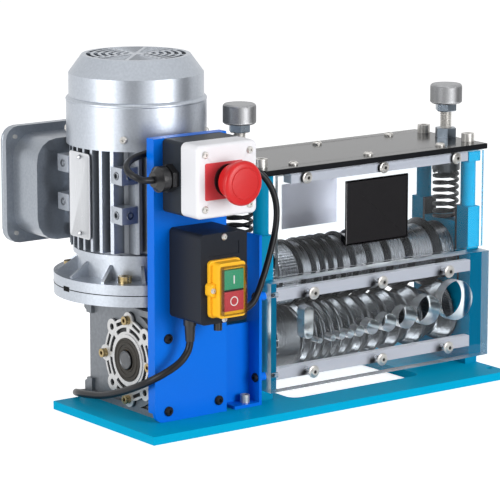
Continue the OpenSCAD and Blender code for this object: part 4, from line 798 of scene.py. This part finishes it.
# Clear panels: a thick drilled feed panel in front of the rollers and two thin windows above it, in
# polished acrylic with the faint blue of its thickness.
def clear_of(name, tint, edge, index):
    """Clear plastic, polished on its faces toward Y and frosted on its cut edges and bores."""
    material = bpy.data.materials.new(name)
    material.use_nodes = True
    tree = material.node_tree
    nodes, link = tree.nodes, tree.links.new
    shader = nodes["Principled BSDF"]
    shader.inputs["IOR"].default_value = index
    shader.inputs["Transmission Weight"].default_value = 1
    place, parts, flat, broad, colour, rough = add_nodes(tree, "TexCoord", "SeparateXYZ", "Math", "Math", "Mix",
                                                         "MapRange")
    flat.operation, broad.operation = "ABSOLUTE", "GREATER_THAN"
    broad.inputs[1].default_value = 0.7
    colour.data_type = "RGBA"
    colour.inputs["A"].default_value = edge
    colour.inputs["B"].default_value = tint
    rough.inputs["To Min"].default_value = 0.38
    rough.inputs["To Max"].default_value = 0.02
    link(place.outputs["Normal"], parts.inputs[0])
    link(parts.outputs["Y"], flat.inputs[0])
    link(flat.outputs[0], broad.inputs[0])
    link(broad.outputs[0], colour.inputs["Factor"])
    link(broad.outputs[0], rough.inputs["Value"])
    link(colour.outputs["Result"], shader.inputs["Base Color"])
    link(rough.outputs[0], shader.inputs["Roughness"])
    path, thin, mix = add_nodes(tree, "LightPath", "BsdfTransparent", "MixShader")
    thin.inputs["Color"].default_value = tint
    link(path.outputs["Is Shadow Ray"], mix.inputs[0])
    link(shader.outputs[0], mix.inputs[1])
    link(thin.outputs[0], mix.inputs[2])
    link(mix.outputs[0], nodes["Material Output"].inputs["Surface"])
    return material


acrylic = clear_of("acrylic", (0.96, 0.985, 1.0, 1), (0.9, 0.97, 1.0, 1), 1.3)
dress(acrylic, "feed_panel", "front_window", "rear_window")

# Bare label plates: a black lacquered plate with a pale border on the front window and a grey one on
# the rear window, both thin anodised sheet stuck to the acrylic. The grey one is painted paler than its
# own grey: painted light for the light that the windows keep from it.
label_black = finish_of("label_black", rgb(26, 25, 27), rgb(33, 32, 34), rough=0.4, spread=0.12,
                        stretch=(600, 600, 600), gloss=0.12)
# The rear label's grey is painted paler than the plate's own grey, as painted light for its shaded place.
label_grey_painted_light = finish_of("label_grey_painted_light", rgb(228, 222, 232), rgb(220, 214, 224), rough=0.5, spread=0.12,
                       stretch=(600, 600, 600))
label_edge = finish_of("label_edge", rgb(214, 216, 219), rgb(204, 206, 210), rough=0.4, spread=0.1,
                       stretch=(600, 600, 600))
REAR_BACK, LABEL_THICK = 58, 0.4
for name, low, high, y, away, shade in (("front_label", (180, 148.5), (258, 212), WINDOW_FRONT, -1, label_black),
                                        ("rear_label", (178, 150), (247, 195), REAR_BACK, 1, label_grey_painted_light)):
    card = bmesh.new()
    middle = ((low[0] + high[0]) / 2, y + away * 0.21, (low[1] + high[1]) / 2)
    block(card, middle, (high[0] - low[0], LABEL_THICK, high[1] - low[1]))
    round_edges(card, edges_along(card, 1, 0.2), 0.8, 3)
    front = [max(card.faces, key=lambda f: f.calc_center_median().y * away)]
    bmesh.ops.inset_region(card, faces=front, thickness=1.6 * MM, depth=0)
    line = bmesh.ops.inset_region(card, faces=front, thickness=0.8 * MM, depth=0)["faces"]
    for f in line:
        f.material_index = 1
    stuck = keep(name, card, "frame", shade, 35)
    stuck.data.materials.append(label_edge)

# Press screws: bright threaded rods through the zinc feed nuts, each with a jam nut and a knurled
# steel knob with a flat top, pressing on a dark spring cup.
zinc = finish_of("zinc", rgb(150, 161, 172), rgb(124, 135, 146), rough=0.3, spread=0.16,
                 stretch=(220, 220, 220), metal=0.85)
dress(zinc, "feed_nuts")
knob_steel = finish_of("knob_steel", rgb(188, 189, 191), rgb(118, 119, 121), rough=0.46, spread=0.16,
                       stretch=(1100, 1100, 1100), metal=0.9)
cup_steel = finish_of("cup_steel", rgb(58, 60, 64), rgb(78, 80, 84), rough=0.36, spread=0.16,
                      stretch=(300, 300, 300), metal=0.8)
PRESSES = (("left", 91, 3), ("right", 348, 0))
PITCH, KNURLS, KNURL_ROWS, KNURL_STEP, KNURL_DEPTH = 1.75, 112, 14, 1.1, 0.6
KNOB_FOOT, KNOB_R, ROD_FOOT, THREAD_FOOT, ROD_R, THREAD_R = 267, 16, 203, 209, 5.2, 5.98
for side, x, rise in PRESSES:
    dress(cup_steel, side + "_spring_cup")
    low = KNOB_FOOT + rise
    rows = [low + 2.2 + KNURL_STEP * k for k in range(KNURL_ROWS)]
    knob = bmesh.new()
    for vert in turn_profile(knob, [(low, 6), (low, 14.4), (low + 1.2, 15.8)] + [(z, KNOB_R) for z in rows]
                             + [(low + 17.8, 15.8), (low + 19.2, 14.6), (low + 19.4, 13.6), (low + 19.1, 13),
                                (low + 19.1, 0)], (x, ROLLER_Y, 0), "Z", KNURLS):
        arm = Vector((vert.co.x - x * MM, vert.co.y - ROLLER_Y * MM, 0))
        row = round((vert.co.z / MM - rows[0]) / KNURL_STEP)
        if rows[0] - 0.1 < vert.co.z / MM < rows[-1] + 0.1:
            if (round(math.atan2(arm.y, arm.x) / math.tau * KNURLS) + row) % 2:
                vert.co -= arm.normalized() * KNURL_DEPTH * MM
    hand_knob = keep(side + "_hand_knob", knob, side + "_knob", knob_steel, 24)
    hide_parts(side + "_press_screw")
    nut = bmesh.new()
    turn_profile(nut, [(low - 8, 6), (low - 8, 9.9), (low - 7.2, 11), (low - 0.8, 11), (low, 9.9), (low, 6)],
                 (x, ROLLER_Y, 0), "Z", 6)
    keep(side + "_jam_nut", nut, side + "_knob", zinc)
    rod = bmesh.new()
    rod_top = low - 4
    turn_profile(rod, [(ROD_FOOT, 0), (ROD_FOOT, 5), (208.4, 5), (208.4, ROD_R), (rod_top, ROD_R), (rod_top, 0)],
                 (x, ROLLER_Y, 0), "Z", 32)
    turns = int((rod_top - THREAD_FOOT - PITCH) / PITCH)
    ridge = [rod.verts.new(Vector((x + r, ROLLER_Y, THREAD_FOOT + z)) * MM)
             for z, r in ((0, ROD_R), (0.62, THREAD_R), (0.86, THREAD_R), (1.48, ROD_R))]
    ribs = [rod.edges.new(pair) for pair in zip(ridge, ridge[1:])]
    bmesh.ops.spin(rod, geom=ridge + ribs, cent=Vector((x, ROLLER_Y, THREAD_FOOT)) * MM, axis=(0, 0, 1),
                   angle=math.tau * turns, steps=20 * turns, dvec=Vector((0, 0, PITCH / 20)) * MM)
    keep(side + "_feed_screw", rod, side + "_knob", nickel, 30)

# Press springs: black oil tempered wire with closed ends, each made in two halves.
spring_black = finish_of("spring_black", rgb(26, 26, 28), rgb(38, 38, 41), rough=0.34, spread=0.14,
                         stretch=(260, 260, 260), gloss=0.3)
WIRE, COIL_R, SPRING_TURNS, LOW_END, HIGH_END = 3.8, 11.6, 7, 151, 200
START, HALF_STEPS = math.radians(150), 112
closed = WIRE + 0.8
open_pitch = (HIGH_END - LOW_END - WIRE - 2 * closed) / (SPRING_TURNS - 2)


def spring_rise(turn):
    """How high the wire's middle has climbed after some turns: closed, open, then closed again."""
    return closed * min(turn, 1) + open_pitch * min(max(turn - 1, 0), SPRING_TURNS - 2) \
        + closed * max(turn - SPRING_TURNS + 1, 0)


for side, x, _ in PRESSES:
    for half_name, first, last, ends in (("lower", 0, 3.5, ("carriage", "frame")),
                                         ("upper", 3.5, 7, ("frame", side + "_cup"))):
        line = []
        for k in range(HALF_STEPS + 1):
            turn = first + (last - first) * k / HALF_STEPS
            angle = math.tau * turn + START
            line.append(Vector((x + COIL_R * math.cos(angle), ROLLER_Y + COIL_R * math.sin(angle),
                                LOW_END + WIRE / 2 + spring_rise(turn))) * MM)
        wire = lead_curve(side + "_wire_path", line, WIRE / 2 * MM, spring_black)
        bpy.context.view_layer.update()
        data = bpy.data.meshes.new_from_object(wire.evaluated_get(bpy.context.evaluated_depsgraph_get()))
        bpy.data.objects.remove(wire)
        coil = bpy.data.objects.new(side + "_spring_" + half_name, data)
        scene.collection.objects.link(coil)
        middle = (LOW_END + HIGH_END) / 2
        low, high = (LOW_END, middle) if half_name == "lower" else (middle, HIGH_END)
        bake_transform(coil)
        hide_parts(side + "_press_spring")
